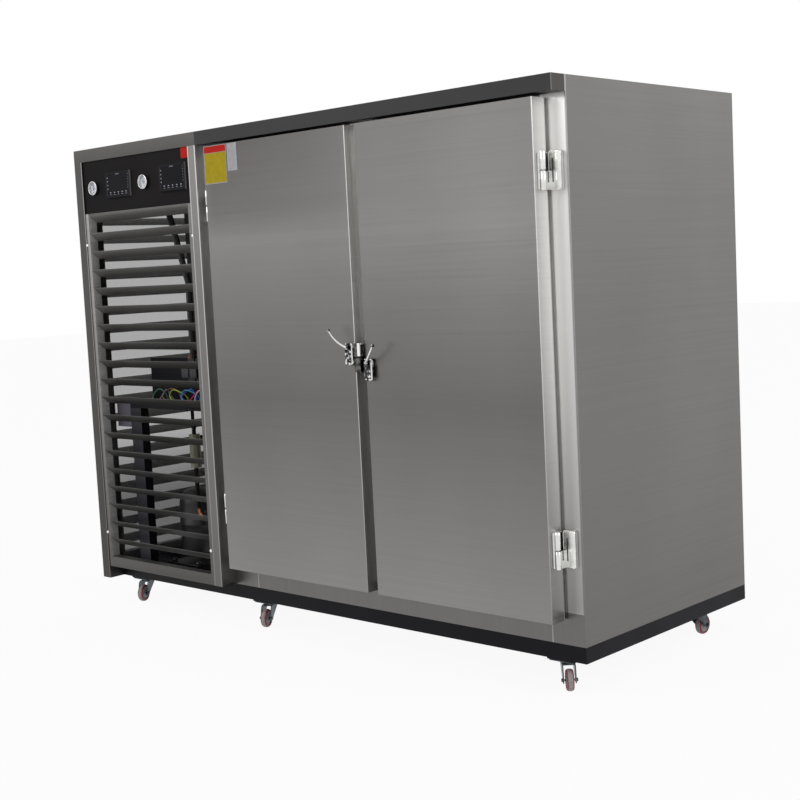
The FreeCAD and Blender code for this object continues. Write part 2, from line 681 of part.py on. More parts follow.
# Uprights and runners: three welded ladders that carry the shelves under their ends and middle
upright_front = (INNER_FRONT + UPRIGHT_WALL_GAP, INNER_FRONT + UPRIGHT_WALL_GAP + UPRIGHT)
upright_back = (INNER_BACK - UPRIGHT_WALL_GAP - UPRIGHT, INNER_BACK - UPRIGHT_WALL_GAP)
ladder_spots = [plank_left + UPRIGHT, MULLION_X, plank_right - UPRIGHT]
ladder_pieces = []
for middle in ladder_spots:
    span = (middle - UPRIGHT / 2, middle + UPRIGHT / 2)
    for y in (upright_front, upright_back):
        ladder_pieces.append(block(span, y, wall_z))
    for level in SHELF_LEVELS:
        top = level - PLANK_THICKNESS - CHANNEL_RADIUS
        runner_y = (upright_front[1], upright_back[0])
        thin = (middle - RUNNER_THICKNESS / 2, middle + RUNNER_THICKNESS / 2)
        ladder_pieces.append(block(thin, runner_y, (top - RUNNER_HEIGHT, top)))
save("shelf_uprights", *ladder_pieces)


# ---------------------------------------------------------------- doors
def door_pieces(x):
    """Skin, foam, liner and gasket of a door that spans x."""
    z = (DOOR_LOW, DOOR_TOP)
    y = (FACE, DOOR_REAR)
    inner_x = (x[0] + SHEET, x[1] - SHEET)
    inner_z = (z[0] + SHEET, z[1] - SHEET)
    skin = open_box(x, y, z, SHEET, 1, 1)
    liner_plane = DOOR_REAR - SHEET
    foam = block(inner_x, (FACE + SHEET, liner_plane), inner_z)
    raised_x = (x[0] + LINER_BORDER, x[1] - LINER_BORDER)
    raised_z = (z[0] + LINER_BORDER, z[1] - LINER_BORDER)
    flat = block(inner_x, (liner_plane, DOOR_REAR), inner_z)
    raised = block(raised_x, (DOOR_REAR, DOOR_REAR + LINER_STEP), raised_z)
    return skin, foam, flat.fuse(raised).removeSplitter(), gasket_ring(x, z)


def gasket_ring(x, z):
    """A rubber gasket: four lengths of one section, mitred at the corners."""
    x0, x1 = x[0] + GASKET_INSET, x[1] - GASKET_INSET
    z0, z1 = z[0] + GASKET_INSET, z[1] - GASKET_INSET
    front, rear = DOOR_REAR, FRONT - CLOSED_GAP
    section = [
        (0, front),
        (0, rear - GASKET_CHAMFER),
        (GASKET_CHAMFER, rear),
        (GASKET_WIDTH - GASKET_CHAMFER, rear),
        (GASKET_WIDTH, rear - GASKET_CHAMFER),
        (GASKET_WIDTH, front),
    ]

    def length(start, end):
        first = [start(inset, y) for inset, y in section]
        last = [end(inset, y) for inset, y in section]
        return through_rings([first, last])

    def corner(at_x, at_z, step_x, step_z):
        return lambda inset, y: FreeCAD.Vector(at_x + step_x * inset, y, at_z + step_z * inset)

    low_left = corner(x0, z0, 1, 1)
    low_right = corner(x1, z0, -1, 1)
    top_right = corner(x1, z1, -1, -1)
    top_left = corner(x0, z1, 1, -1)
    sides = ((low_left, low_right), (low_right, top_right), (top_right, top_left), (top_left, low_left))
    return [length(start, end) for start, end in sides]


HINGE_LEVELS = (DOOR_LOW + HINGE_BOTTOM_INSET, DOOR_TOP - HINGE_TOP_INSET - HINGE_HEIGHT)
PIVOT_Y = FACE + HINGE_PIVOT_BACK
DOOR_SPANS = {
    "left": (DOORS_LEFT, DOORS_LEFT + DOOR_WIDTH),
    "right": (DOORS_RIGHT - DOOR_WIDTH, DOORS_RIGHT),
}
PIVOT_X = {"left": DOORS_LEFT - HINGE_PIVOT_OUT, "right": DOORS_RIGHT + HINGE_PIVOT_OUT}


def door_leaf(edge, pivot_x, outward, low):
    """The door's half of a hinge: a leaf on the door's edge, with the upper knuckle and its web."""
    middle = low + HINGE_HEIGHT / 2
    top = low + HINGE_HEIGHT
    leaf_x = (edge, edge + outward * DOOR_LEAF_THICKNESS)
    leaf_rear = DOOR_REAR - SHEET
    leaf = block(leaf_x, (leaf_rear - DOOR_LEAF_DEPTH, leaf_rear), (low, top))
    knuckle_z = (middle + KNUCKLE_GAP / 2, top)
    knuckle_ends = [FreeCAD.Vector(pivot_x, PIVOT_Y, z) for z in knuckle_z]
    knuckle = bar(KNUCKLE_RADIUS, knuckle_ends[0], knuckle_ends[1], PIN_SIDES)
    web = block((leaf_x[1], pivot_x), (PIVOT_Y - HINGE_WEB / 2, PIVOT_Y + HINGE_WEB / 2), knuckle_z)
    pin_room = bore(HINGE_PIN_RADIUS + HINGE_PIN_CLEARANCE, knuckle_ends[0], knuckle_ends[1])
    return leaf.fuse([knuckle, web]).cut(pin_room)


def frame_leaf(pivot_x, outward, width, low):
    """The frame's half of a hinge: a cast leaf, the lower knuckle and the pin that stands up from it."""
    middle = low + HINGE_HEIGHT / 2
    inner = pivot_x - outward * HINGE_WEB / 2
    outer = inner + outward * width
    slope = outward * FRAME_LEAF_CHAMFER
    outline = [
        (inner, FRONT),
        (inner, FRONT - FRAME_LEAF_THICKNESS),
        (outer - slope, FRONT - FRAME_LEAF_THICKNESS),
        (outer, FRONT - FRAME_LEAF_THICKNESS + FRAME_LEAF_CHAMFER),
        (outer, FRONT),
    ]
    leaf = plate([FreeCAD.Vector(x, y, low) for x, y in outline], Z_AXIS * HINGE_HEIGHT)
    foot = FreeCAD.Vector(pivot_x, PIVOT_Y, low)
    knuckle_top = FreeCAD.Vector(pivot_x, PIVOT_Y, middle - KNUCKLE_GAP / 2)
    knuckle = bar(KNUCKLE_RADIUS, foot, knuckle_top, PIN_SIDES)
    web_x = (pivot_x - HINGE_WEB / 2, pivot_x + HINGE_WEB / 2)
    web = block(web_x, (PIVOT_Y, FRONT - FRAME_LEAF_THICKNESS), (low, knuckle_top.z))
    pin = rod(HINGE_PIN_RADIUS, knuckle_top, FreeCAD.Vector(pivot_x, PIVOT_Y, low + HINGE_HEIGHT))
    return leaf.fuse([knuckle, web, pin])


frame_leaves = []
for side, outward, leaf_width in (("left", -1, FRAME_LEAF_NARROW), ("right", 1, FRAME_LEAF_WIDTH)):
    span = DOOR_SPANS[side]
    edge = span[0] if outward < 0 else span[1]
    skin, foam, liner, gasket = door_pieces(span)
    save(side + "_door_skin", skin)
    save(side + "_door_foam", foam)
    save(side + "_door_liner", liner)
    save(side + "_door_gasket", *gasket)
    door_leaves = [door_leaf(edge, PIVOT_X[side], outward, low) for low in HINGE_LEVELS]
    save(side + "_door_hinge_leaves", *door_leaves)
    frame_leaves += [frame_leaf(PIVOT_X[side], outward, leaf_width, low) for low in HINGE_LEVELS]
save("frame_hinge_leaves", *frame_leaves)


# ---------------------------------------------------------------- latches
CASE_FRONT = FACE - LATCH_CASE_DEPTH
TONGUE_Y = FACE - LATCH_CASE_WALL - TONGUE_CLEARANCE - TONGUE_THICKNESS / 2
TONGUE_HALF_ROOM = TONGUE_THICKNESS / 2 + TONGUE_CLEARANCE
LATCH_SIDES = {"left": (-1, DOOR_LOW + LATCH_LEFT_RISE), "right": (1, DOOR_LOW + LATCH_RIGHT_RISE)}


def latch_pivot(side):
    """The middle of the spindle, in the plane across the door."""
    way, low = LATCH_SIDES[side]
    x = MULLION_X + way * (DOOR_GAP / 2 + LATCH_CASE_WIDTH / 2)
    return x, low + LATCH_CASE_HEIGHT - LATCH_PIVOT_DROP


def latch_case(side):
    """A latch case: a shell on the door's face, open towards the keeper for the tongue to swing out."""
    way, low = LATCH_SIDES[side]
    pivot_x, pivot_z = latch_pivot(side)
    near = pivot_x - way * LATCH_CASE_WIDTH / 2
    far = near + way * LATCH_CASE_WIDTH
    top = low + LATCH_CASE_HEIGHT
    shell = block((near, far), (CASE_FRONT, FACE), (low, top))
    room_y = (TONGUE_Y - TONGUE_HALF_ROOM, TONGUE_Y + TONGUE_HALF_ROOM)
    room_top = pivot_z + math.hypot(TONGUE_WIDTH / 2, TONGUE_WIDTH / 2) + TONGUE_CLEARANCE
    room = block((near, far - way * LATCH_CASE_WALL), room_y, (low + LATCH_CASE_WALL, room_top))
    spindle_ends = [FreeCAD.Vector(pivot_x, y, pivot_z) for y in (CASE_FRONT, TONGUE_Y)]
    spindle_room = bore(SPINDLE_RADIUS + SPINDLE_CLEARANCE, spindle_ends[0], spindle_ends[1])
    return shell.cut([room, spindle_room])


def latch_lever(side):
    """A curved lever on its spindle, with the tongue that swings behind the keeper as the lever turns."""
    way = LATCH_SIDES[side][0]
    pivot_x, pivot_z = latch_pivot(side)
    hub_rear = CASE_FRONT - SPINDLE_CLEARANCE
    hub_front = hub_rear - LEVER_HUB_LENGTH

    def on_axis(y):
        return FreeCAD.Vector(pivot_x, y, pivot_z)

    hub = bar(LEVER_HUB_RADIUS, on_axis(hub_rear), on_axis(hub_front), PIN_SIDES)
    spindle = rod(SPINDLE_RADIUS, on_axis(hub_rear), on_axis(TONGUE_Y))
    half = TONGUE_WIDTH / 2
    outline = [
        (-half, half),
        (half, half),
        (half, -TONGUE_LENGTH + half),
        (half / 2, -TONGUE_LENGTH),
        (-half / 2, -TONGUE_LENGTH),
        (-half, -TONGUE_LENGTH + half),
    ]
    rear = TONGUE_Y + TONGUE_THICKNESS / 2
    corners = [FreeCAD.Vector(pivot_x + x, rear, pivot_z + z) for x, z in outline]
    tongue = plate(corners, Y_AXIS * -TONGUE_THICKNESS)
    return hub.fuse([spindle, tongue, lever_arm(on_axis(hub_front), way)])


def lever_arm(root, way):
    """A flat bar that curves out and up from the hub: sections set square to an arc, and lofted."""
    run = math.hypot(LEVER_SPREAD, LEVER_RISE)
    along = FreeCAD.Vector(way * LEVER_SPREAD / run, 0, LEVER_RISE / run)
    across = FreeCAD.Vector(-along.z, 0, along.x)
    wires = []
    for i in range(LEVER_SECTIONS + 1):
        share = i / LEVER_SECTIONS
        bulge = math.sin(share * math.pi / 2)
        middle = root + along * (run * share) - Y_AXIS * (LEVER_REACH * bulge - LEVER_THICKNESS)
        width = LEVER_ROOT_WIDTH + (LEVER_TIP_WIDTH - LEVER_ROOT_WIDTH) * share
        back = middle
        front = middle - Y_AXIS * LEVER_THICKNESS
        corners = [
            back - across * (width / 2),
            back + across * (width / 2),
            front + across * (width / 2),
            front - across * (width / 2),
        ]
        wires.append(Part.makePolygon(corners + [corners[0]]))
    return Part.makeLoft(wires, True, True)


def latch_keeper(side):
    """A keeper on the post between the doors: back, two bridges and the lip that holds the tongue."""
    pivot_x, pivot_z = latch_pivot(side)
    half = TONGUE_WIDTH / 2
    offset = abs(pivot_x - MULLION_X) - KEEPER_WIDTH / 2
    sweep = math.sqrt(TONGUE_LENGTH**2 + half**2 - offset**2)
    slot_z = (pivot_z - sweep - TONGUE_CLEARANCE, pivot_z + half + TONGUE_CLEARANCE)
    slot_y = (TONGUE_Y - TONGUE_HALF_ROOM, TONGUE_Y + TONGUE_HALF_ROOM)
    x = (MULLION_X - KEEPER_WIDTH / 2, MULLION_X + KEEPER_WIDTH / 2)
    keeper_z = (slot_z[0] - KEEPER_WALL, slot_z[1] + KEEPER_WALL)
    return [
        block(x, (slot_y[0] - KEEPER_WALL, slot_y[0]), keeper_z),
        block(x, (slot_y[1], FRONT), keeper_z),
        block(x, slot_y, (keeper_z[0], slot_z[0])),
        block(x, slot_y, (slot_z[1], keeper_z[1])),
    ]


save("latch_keepers", *latch_keeper("left"), *latch_keeper("right"))
for side in LATCH_SIDES:
    save(side + "_door_latch_case", latch_case(side))
    save(side + "_latch_lever", latch_lever(side))


# ---------------------------------------------------------------- machine bay frame
bay_front_y = (FACE, FRONT)
post_left_x = (LEFT, LEFT + BAY_POST_WIDTH)
post_inner_x = (DIVIDE - BAY_INNER_POST_WIDTH, DIVIDE)
rear_post_y = (BACK - BAY_REAR_POST, BACK)
rear_left_x = (LEFT, LEFT + BAY_REAR_POST)
rear_inner_x = (DIVIDE - BAY_REAR_POST, DIVIDE)
rail_z = (FASCIA_LOW, ROOF_LOW)
save(
    "bay_frame",
    box_tube(post_left_x, bay_front_y, (BASE_LOW, FASCIA_LOW), TUBE_WALL, 2),
    box_tube(post_inner_x, (FACE, FRONT + BAY_POST_STAND), (BASE_TOP, FASCIA_LOW), TUBE_WALL, 2),
    box_tube(rear_left_x, rear_post_y, (BASE_TOP, ROOF_LOW), TUBE_WALL, 2),
    box_tube(rear_inner_x, rear_post_y, (BASE_TOP, ROOF_LOW), TUBE_WALL, 2),
    box_tube((LEFT, DIVIDE), bay_front_y, (FASCIA_LOW, TOP), TUBE_WALL, 0),
    box_tube(rear_left_x, (FRONT, rear_post_y[0]), rail_z, TUBE_WALL, 1),
    box_tube((rear_left_x[1], rear_inner_x[0]), rear_post_y, rail_z, TUBE_WALL, 0),
)


# ---------------------------------------------------------------- louvre grilles
def louvre_grille(width, height, rail, first_rise):
    """A grille at the origin: X across, outer face at Y zero, blades whose outer edge is the higher one."""
    depth = (0, LOUVRE_DEPTH)
    across = (GRILLE_STILE, width - GRILLE_STILE)
    pieces = [
        box_tube((0, GRILLE_STILE), depth, (0, height), TUBE_WALL, 2),
        box_tube((width - GRILLE_STILE, width), depth, (0, height), TUBE_WALL, 2),
        box_tube(across, depth, (0, rail), TUBE_WALL, 0),
        block(across, depth, (height - TUBE_WALL, height)),
    ]
    room = height - TUBE_WALL - LOUVRE_DROP / 2 - first_rise
    for i in range(int(room / LOUVRE_PITCH) + 1):
        middle = first_rise + i * LOUVRE_PITCH
        outline = [
            (0, middle + LOUVRE_DROP / 2),
            (LOUVRE_DEPTH, middle - LOUVRE_DROP / 2),
            (LOUVRE_DEPTH, middle - LOUVRE_DROP / 2 - LOUVRE_SHEET),
            (0, middle + LOUVRE_DROP / 2 - LOUVRE_SHEET),
        ]
        points = [FreeCAD.Vector(across[0], y, z) for y, z in outline]
        pieces.append(plate(points, X_AXIS * (across[1] - across[0])))
    return pieces


def placed(pieces, corner, angle):
    """The pieces of a grille turned about Z and moved, so that its origin comes to the corner given."""
    turn = FreeCAD.Placement(corner, FreeCAD.Rotation(Z_AXIS, angle))
    for piece in pieces:
        piece.Placement = turn.multiply(piece.Placement)
    return pieces


PANEL_LOW = FASCIA_LOW - PANEL_HEIGHT
bay_inner_x = (post_left_x[1], post_inner_x[0])
front_corner = FreeCAD.Vector(bay_inner_x[0], FACE + GRILLE_RECESS, BASE_TOP)
front_height = PANEL_LOW - BASE_TOP
front_width = bay_inner_x[1] - bay_inner_x[0]
front_blades = louvre_grille(front_width, front_height, GRILLE_RAIL, LOUVRE_FIRST_RISE)
save("front_grille", *placed(front_blades, front_corner, 0))

side_corner = FreeCAD.Vector(LEFT, rear_post_y[0], BASE_TOP)
side_width = rear_post_y[0] - FRONT
side_height = FASCIA_LOW - BASE_TOP
side_first = LOUVRE_FIRST_RISE + SIDE_LOUVRE_SHIFT
side_blades = louvre_grille(side_width, side_height, GRILLE_RAIL, side_first)
save("side_grille", *placed(side_blades, side_corner, -90))

# Dust screen of fine mesh behind the side grille, drawn as a plain sheet
screen_x = (LEFT + LOUVRE_DEPTH, LEFT + LOUVRE_DEPTH + SCREEN_THICKNESS)
save("side_dust_screen", block(screen_x, (FRONT, rear_post_y[0]), (BASE_TOP, FASCIA_LOW)))

rear_corner = FreeCAD.Vector(rear_inner_x[0], BACK, BASE_TOP)
rear_width = rear_inner_x[0] - rear_left_x[1]
rear_first = GLAND_PLATE_HEIGHT + LOUVRE_DROP
rear_blades = louvre_grille(rear_width, side_height, GLAND_PLATE_HEIGHT, rear_first)
gland_x = DIVIDE - GLAND_INSET
gland_z = BASE_TOP + GLAND_PLATE_HEIGHT / 2
gland_inner = BACK - LOUVRE_DEPTH - GLAND_TAIL
gland_ends = [FreeCAD.Vector(gland_x, y, gland_z) for y in (gland_inner, BACK)]
gland_hole = bar(GLAND_RADIUS, gland_ends[0], gland_ends[1], PIN_SIDES)
rear_pieces = placed(rear_blades, rear_corner, 180)
rear_pieces[2] = rear_pieces[2].cut(gland_hole)
save("rear_grille", *rear_pieces)


gland_face = FreeCAD.Vector(gland_x, BACK, gland_z)
gland_back = FreeCAD.Vector(gland_x, gland_inner, gland_z)
gland_tip = gland_face + Y_AXIS * GLAND_REACH
gland_body = bar(GLAND_RADIUS, gland_back, gland_tip, PIN_SIDES)
outer_nut = bar(GLAND_NUT_ACROSS / 2, gland_face, gland_face + Y_AXIS * GLAND_NUT_HEIGHT, HEX_CORNERS)
inner_face = FreeCAD.Vector(gland_x, BACK - LOUVRE_DEPTH, gland_z)
inner_nut = bar(GLAND_NUT_ACROSS / 2, inner_face, inner_face - Y_AXIS * GLAND_NUT_HEIGHT, HEX_CORNERS)
save("cable_gland", gland_body.fuse([outer_nut, inner_nut]).cut(rod(GLAND_BORE, gland_back, gland_tip)))


# ---------------------------------------------------------------- control panel
panel_face = FACE + PANEL_RECESS
panel = open_box(bay_inner_x, (panel_face, panel_face + PANEL_RETURN), (PANEL_LOW, FASCIA_LOW), SHEET, 1, 1)
controller_z = FASCIA_LOW - CONTROLLER_DROP
gauge_z = FASCIA_LOW - GAUGE_DROP
CONTROLLER_XS = (DIVIDE - CONTROLLER_LEFT_INSET, DIVIDE - CONTROLLER_RIGHT_INSET)
GAUGE_XS = (DIVIDE - GAUGE_LEFT_INSET, DIVIDE - GAUGE_RIGHT_INSET)
gauge_can = GAUGE_DIAMETER / 2 - GAUGE_BEZEL
controllers = []
for x in CONTROLLER_XS:
    half_w = CONTROLLER_WIDTH / 2
    half_h = CONTROLLER_HEIGHT / 2
    rim = CONTROLLER_BEZEL
    front = panel_face - CONTROLLER_PROUD
    rear = panel_face + CONTROLLER_BACK
    bezel_z = (controller_z - half_h, controller_z + half_h)
    bezel = block((x - half_w, x + half_w), (front, panel_face), bezel_z)
    inner_x = (x - half_w + rim, x + half_w - rim)
    inner_z = (controller_z - half_h + rim, controller_z + half_h - rim)
    body = block(inner_x, (panel_face, rear), inner_z)
    window = block(inner_x, (front, front + CONTROLLER_RECESS), inner_z)
    controllers.append(bezel.fuse(body).cut(window))
    hole_x = (inner_x[0] - CONTROLLER_FIT, inner_x[1] + CONTROLLER_FIT)
    hole_z = (inner_z[0] - CONTROLLER_FIT, inner_z[1] + CONTROLLER_FIT)
    panel = panel.cut(block(hole_x, (panel_face, panel_face + SHEET), hole_z))
save("controller_housings", *controllers)

gauge_cases = []
gauge_lenses = []
dial_height = GAUGE_PROUD - GAUGE_DIAL_DEPTH
for x in GAUGE_XS:
    middle = FreeCAD.Vector(x, panel_face, gauge_z)
    glass_front = middle - Y_AXIS * GAUGE_PROUD
    dial = middle - Y_AXIS * dial_height
    pin_tip = dial - Y_AXIS * (NEEDLE_LIFT + NEEDLE_THICKNESS)
    case = bar(GAUGE_DIAMETER / 2, middle, glass_front, WHEEL_SIDES)
    can = bar(gauge_can, middle + Y_AXIS * GAUGE_BACK, middle, ROUND_SIDES)
    case = case.cut(bar(gauge_can, dial, glass_front, ROUND_SIDES))
    pin = rod(NEEDLE_PIN_RADIUS, dial, pin_tip)
    gauge_cases.append(case.fuse([can, pin]))
    gauge_lenses.append(bar(gauge_can, glass_front, glass_front + Y_AXIS * GAUGE_GLASS, ROUND_SIDES))
    hole = bar(gauge_can + CONTROLLER_FIT, middle, middle + Y_AXIS * SHEET, ROUND_SIDES)
    panel = panel.cut(hole)
save("gauge_cases", *gauge_cases)
save("gauge_lenses", *gauge_lenses)
save("control_panel", panel)

for side, x in zip(("left", "right"), GAUGE_XS):
    blade_y = panel_face - dial_height - NEEDLE_LIFT
    half = NEEDLE_WIDTH / 2
    hub = NEEDLE_HUB_RADIUS
    outline = [
        (-half, -NEEDLE_TAIL),
        (half, -NEEDLE_TAIL),
        (half, -hub),
        (hub, -half),
        (hub, half),
        (half, hub),
        (0, NEEDLE_LENGTH),
        (-half, hub),
        (-hub, half),
        (-hub, -half),
        (-half, -hub),
    ]
    points = [FreeCAD.Vector(x + across, blade_y, gauge_z + up) for across, up in outline]
    centre = FreeCAD.Vector(x, blade_y, gauge_z)
    pin_room = bore(NEEDLE_PIN_RADIUS + NEEDLE_CLEARANCE, centre, centre - Y_AXIS * NEEDLE_THICKNESS)
    save("gauge_needle_" + side, plate(points, Y_AXIS * -NEEDLE_THICKNESS).cut(pin_room))


# ---------------------------------------------------------------- electrical shelf
DECK_FRONT = FRONT + DECK_SETBACK
deck_x = (LEFT + DECK_LEFT_INSET, post_inner_x[0])
deck_y = (DECK_FRONT, DECK_FRONT + DECK_DEPTH)
deck_z = (BASE_TOP + DECK_RISE, BASE_TOP + DECK_RISE + DECK_HEIGHT)
leg_x = (deck_x[0], deck_x[0] + DECK_LEG_WIDTH)
leg_y = (DECK_FRONT, DECK_FRONT + DECK_LEG_DEPTH)
back_plate_y = (DECK_FRONT + CONTACTOR_DEPTH, DECK_FRONT + CONTACTOR_DEPTH + TUBE_WALL)
contactors_low = deck_z[1] + CONTACTOR_RISE
back_plate_z = (deck_z[1], contactors_low + CONTACTOR_HEIGHT)
junction_x = (deck_x[0] - JUNCTION_WIDTH, deck_x[0])
junction_z = (deck_z[1] - JUNCTION_HEIGHT, deck_z[1])
save(
    "electrical_shelf",
    open_box(deck_x, deck_y, deck_z, TUBE_WALL, 2, 0),
    box_tube(leg_x, leg_y, (BASE_TOP, deck_z[0]), TUBE_WALL, 2),
    block((leg_x[1], deck_x[1]), back_plate_y, back_plate_z),
    open_box(junction_x, (DECK_FRONT, DECK_FRONT + JUNCTION_DEPTH), junction_z, TUBE_WALL, 1, 1),
)
contactors = []
contactors_right = DIVIDE - CONTACTOR_INSET
contactor_z = (contactors_low, contactors_low + CONTACTOR_HEIGHT)
for i in range(CONTACTOR_COUNT):
    right = contactors_right - i * (CONTACTOR_WIDTH + CONTACTOR_GAP)
    step_y = back_plate_y[0] - CONTACTOR_DEPTH / 2
    body = block((right - CONTACTOR_WIDTH, right), (step_y, back_plate_y[0]), contactor_z)
    shoulder = CONTACTOR_HEIGHT * CONTACTOR_SHOULDER_SHARE
    nose_z = (contactor_z[0] + shoulder, contactor_z[1] - shoulder)
    nose = block((right - CONTACTOR_WIDTH, right), (DECK_FRONT, step_y), nose_z)
    contactors.append(body.fuse(nose))
save("contactors", *contactors)

# Conduit: leaves the side of the right controller, comes down behind the grille and ends on a contactor
conduit_back = panel_face + CONTROLLER_BACK - CONDUIT_RADIUS - TUBE_WALL
conduit_y = back_plate_y[0] - CONTACTOR_DEPTH / 2 + CONDUIT_RADIUS
conduit_foot_x = contactors_right - CONTACTOR_GAP - CONTACTOR_WIDTH * (1 + HALF)
conduit_side_x = CONTROLLER_XS[1] - CONTROLLER_WIDTH / 2 + CONTROLLER_BEZEL
conduit_top_x = conduit_foot_x - CONDUIT_SWEEP
conduit_path = [
    FreeCAD.Vector(conduit_side_x, conduit_back, controller_z),
    FreeCAD.Vector(conduit_top_x, conduit_back, controller_z),
    FreeCAD.Vector(conduit_top_x, conduit_y, PANEL_LOW - CONDUIT_RADIUS * 2),
    FreeCAD.Vector(conduit_foot_x, conduit_y, PANEL_LOW - CONDUIT_DROP),
    FreeCAD.Vector(conduit_foot_x, conduit_y, contactor_z[1]),
]
save("wiring_conduit", bent_tube(conduit_path, CONDUIT_RADIUS, CONDUIT_BEND))


# ---------------------------------------------------------------- condenser and its fan
CONDENSER_FRONT = FRONT + CONDENSER_SETBACK
coil_x = (LEFT + CONDENSER_LEFT_ROOM, DIVIDE - CONDENSER_GAP)
coil_y = (CONDENSER_FRONT, CONDENSER_FRONT + CONDENSER_THICKNESS)
coil_z = (BASE_TOP + CONDENSER_RISE, BASE_TOP + CONDENSER_RISE + CONDENSER_HEIGHT)
fins_x = (coil_x[0] + CONDENSER_FRAME, coil_x[1] - CONDENSER_FRAME)
fins_z = (coil_z[0] + CONDENSER_FRAME, coil_z[1] - CONDENSER_FRAME)
stand_middle = CONDENSER_FRONT + CONDENSER_THICKNESS / 2
stand_y = (stand_middle - MACHINE_RAIL / 2, stand_middle + MACHINE_RAIL / 2)
stand_z = (BASE_TOP, coil_z[0])
save(
    "condenser_coil",
    block(fins_x, coil_y, fins_z),
    block((coil_x[0], fins_x[0]), coil_y, coil_z),
    block((fins_x[1], coil_x[1]), coil_y, coil_z),
    block(fins_x, coil_y, (coil_z[0], fins_z[0])),
    block(fins_x, coil_y, (fins_z[1], coil_z[1])),
    box_tube((coil_x[0], coil_x[0] + MACHINE_RAIL), stand_y, stand_z, TUBE_WALL, 2),
    box_tube((coil_x[1] - MACHINE_RAIL, coil_x[1]), stand_y, stand_z, TUBE_WALL, 2),
)

fan_x = (coil_x[0] + coil_x[1]) / 2
fan_z = (coil_z[0] + coil_z[1]) / 2
shroud_y = (coil_y[1], coil_y[1] + SHROUD_DEPTH)
shroud_centre = FreeCAD.Vector(fan_x, shroud_y[1], fan_z)
hole_front = shroud_centre - Y_AXIS * SHROUD_SHEET
shroud_hole = bar(FAN_RADIUS + FAN_TIP_CLEARANCE, hole_front, shroud_centre, WHEEL_SIDES)
shroud = open_box(coil_x, shroud_y, coil_z, SHROUD_SHEET, 1, 0).cut(shroud_hole)
save("fan_shroud", shroud)

# Motor on two crossed arms behind the ring, its shaft towards the coil
hub_front = shroud_y[1] - FAN_HUB_DEPTH / 2
hub_rear = hub_front + FAN_HUB_DEPTH
motor_front = hub_rear + FAN_BORE_CLEARANCE
ring_reach = FAN_RADIUS + FAN_TIP_CLEARANCE + MOTOR_ARM
motor_axis = FreeCAD.Vector(fan_x, motor_front, fan_z)
motor = bar(MOTOR_RADIUS, motor_axis, motor_axis + Y_AXIS * MOTOR_LENGTH, ROUND_SIDES)
shaft = rod(MOTOR_SHAFT_RADIUS, FreeCAD.Vector(fan_x, hub_front, fan_z), motor_axis)
arm_z = (fan_z - MOTOR_ARM / 2, fan_z + MOTOR_ARM / 2)
blade_sweep = (FAN_TIP_WIDTH * math.sin(math.radians(FAN_BLADE_PITCH)) + FAN_BLADE_SHEET) / 2
arm_front = shroud_y[1] + blade_sweep + FAN_ARM_CLEARANCE
far_arm_y = (arm_front, arm_front + MOTOR_ARM)
arm = block((fan_x - ring_reach, fan_x + ring_reach), far_arm_y, arm_z)
feet = []
for side in (-1, 1):
    outer = fan_x + side * ring_reach
    feet.append(block((outer, outer - side * MOTOR_ARM), (shroud_y[1], far_arm_y[0]), arm_z))
save("fan_motor", motor.fuse([shaft, arm] + feet))

fan_centre = FreeCAD.Vector(fan_x, hub_front, fan_z)
fan_rear = fan_centre + Y_AXIS * FAN_HUB_DEPTH
hub = bar(FAN_HUB_RADIUS, fan_centre, fan_rear, ROUND_SIDES)
shaft_hole = bore(MOTOR_SHAFT_RADIUS + FAN_BORE_CLEARANCE, fan_centre, fan_rear)
blade_outline = [
    (FAN_HUB_RADIUS * FAN_ROOT_SHARE, -FAN_ROOT_WIDTH / 2),
    (FAN_RADIUS * FAN_CHORD_SHARE, -FAN_TIP_WIDTH / 2),
    (FAN_RADIUS * FAN_CHORD_SHARE, FAN_TIP_WIDTH / 2),
    (FAN_HUB_RADIUS * FAN_ROOT_SHARE, FAN_ROOT_WIDTH / 2),
]
blades = []
for i in range(FAN_BLADES):
    points = [FreeCAD.Vector(out, -FAN_BLADE_SHEET / 2, across) for out, across in blade_outline]
    blade = plate(points, Y_AXIS * FAN_BLADE_SHEET)
    blade.rotate(HERE, X_AXIS, FAN_BLADE_PITCH)
    blade.rotate(HERE, Y_AXIS, i * FULL_TURN / FAN_BLADES)
    blade.translate(fan_centre + Y_AXIS * (FAN_HUB_DEPTH / 2))
    blades.append(blade)
save("condenser_fan", hub.fuse(blades).cut(shaft_hole))


# ---------------------------------------------------------------- compressors, receiver and pipes
compressor_x = DIVIDE - COMPRESSOR_PARTITION_GAP
foot_top = BASE_TOP + COMPRESSOR_FOOT_THICKNESS
can_profile = [
    (COMPRESSOR_RADIUS - COMPRESSOR_DOME / 2, 0),
    (COMPRESSOR_RADIUS, COMPRESSOR_DOME),
    (COMPRESSOR_RADIUS, COMPRESSOR_HEIGHT - COMPRESSOR_DOME),
    (COMPRESSOR_RADIUS / 2, COMPRESSOR_HEIGHT),
]
compressors = []
compressor_ys = (FRONT + COMPRESSOR_FRONT_SETBACK, FRONT + COMPRESSOR_REAR_SETBACK)
for y in compressor_ys:
    half = COMPRESSOR_FOOT / 2
    foot = block((compressor_x - half, compressor_x + half), (y - half, y + half), (BASE_TOP, foot_top))
    can = stack(can_profile, FreeCAD.Vector(compressor_x, y, foot_top), Z_AXIS, ROUND_SIDES)
    compressors.append(foot.fuse(can))
save("compressors", *compressors)

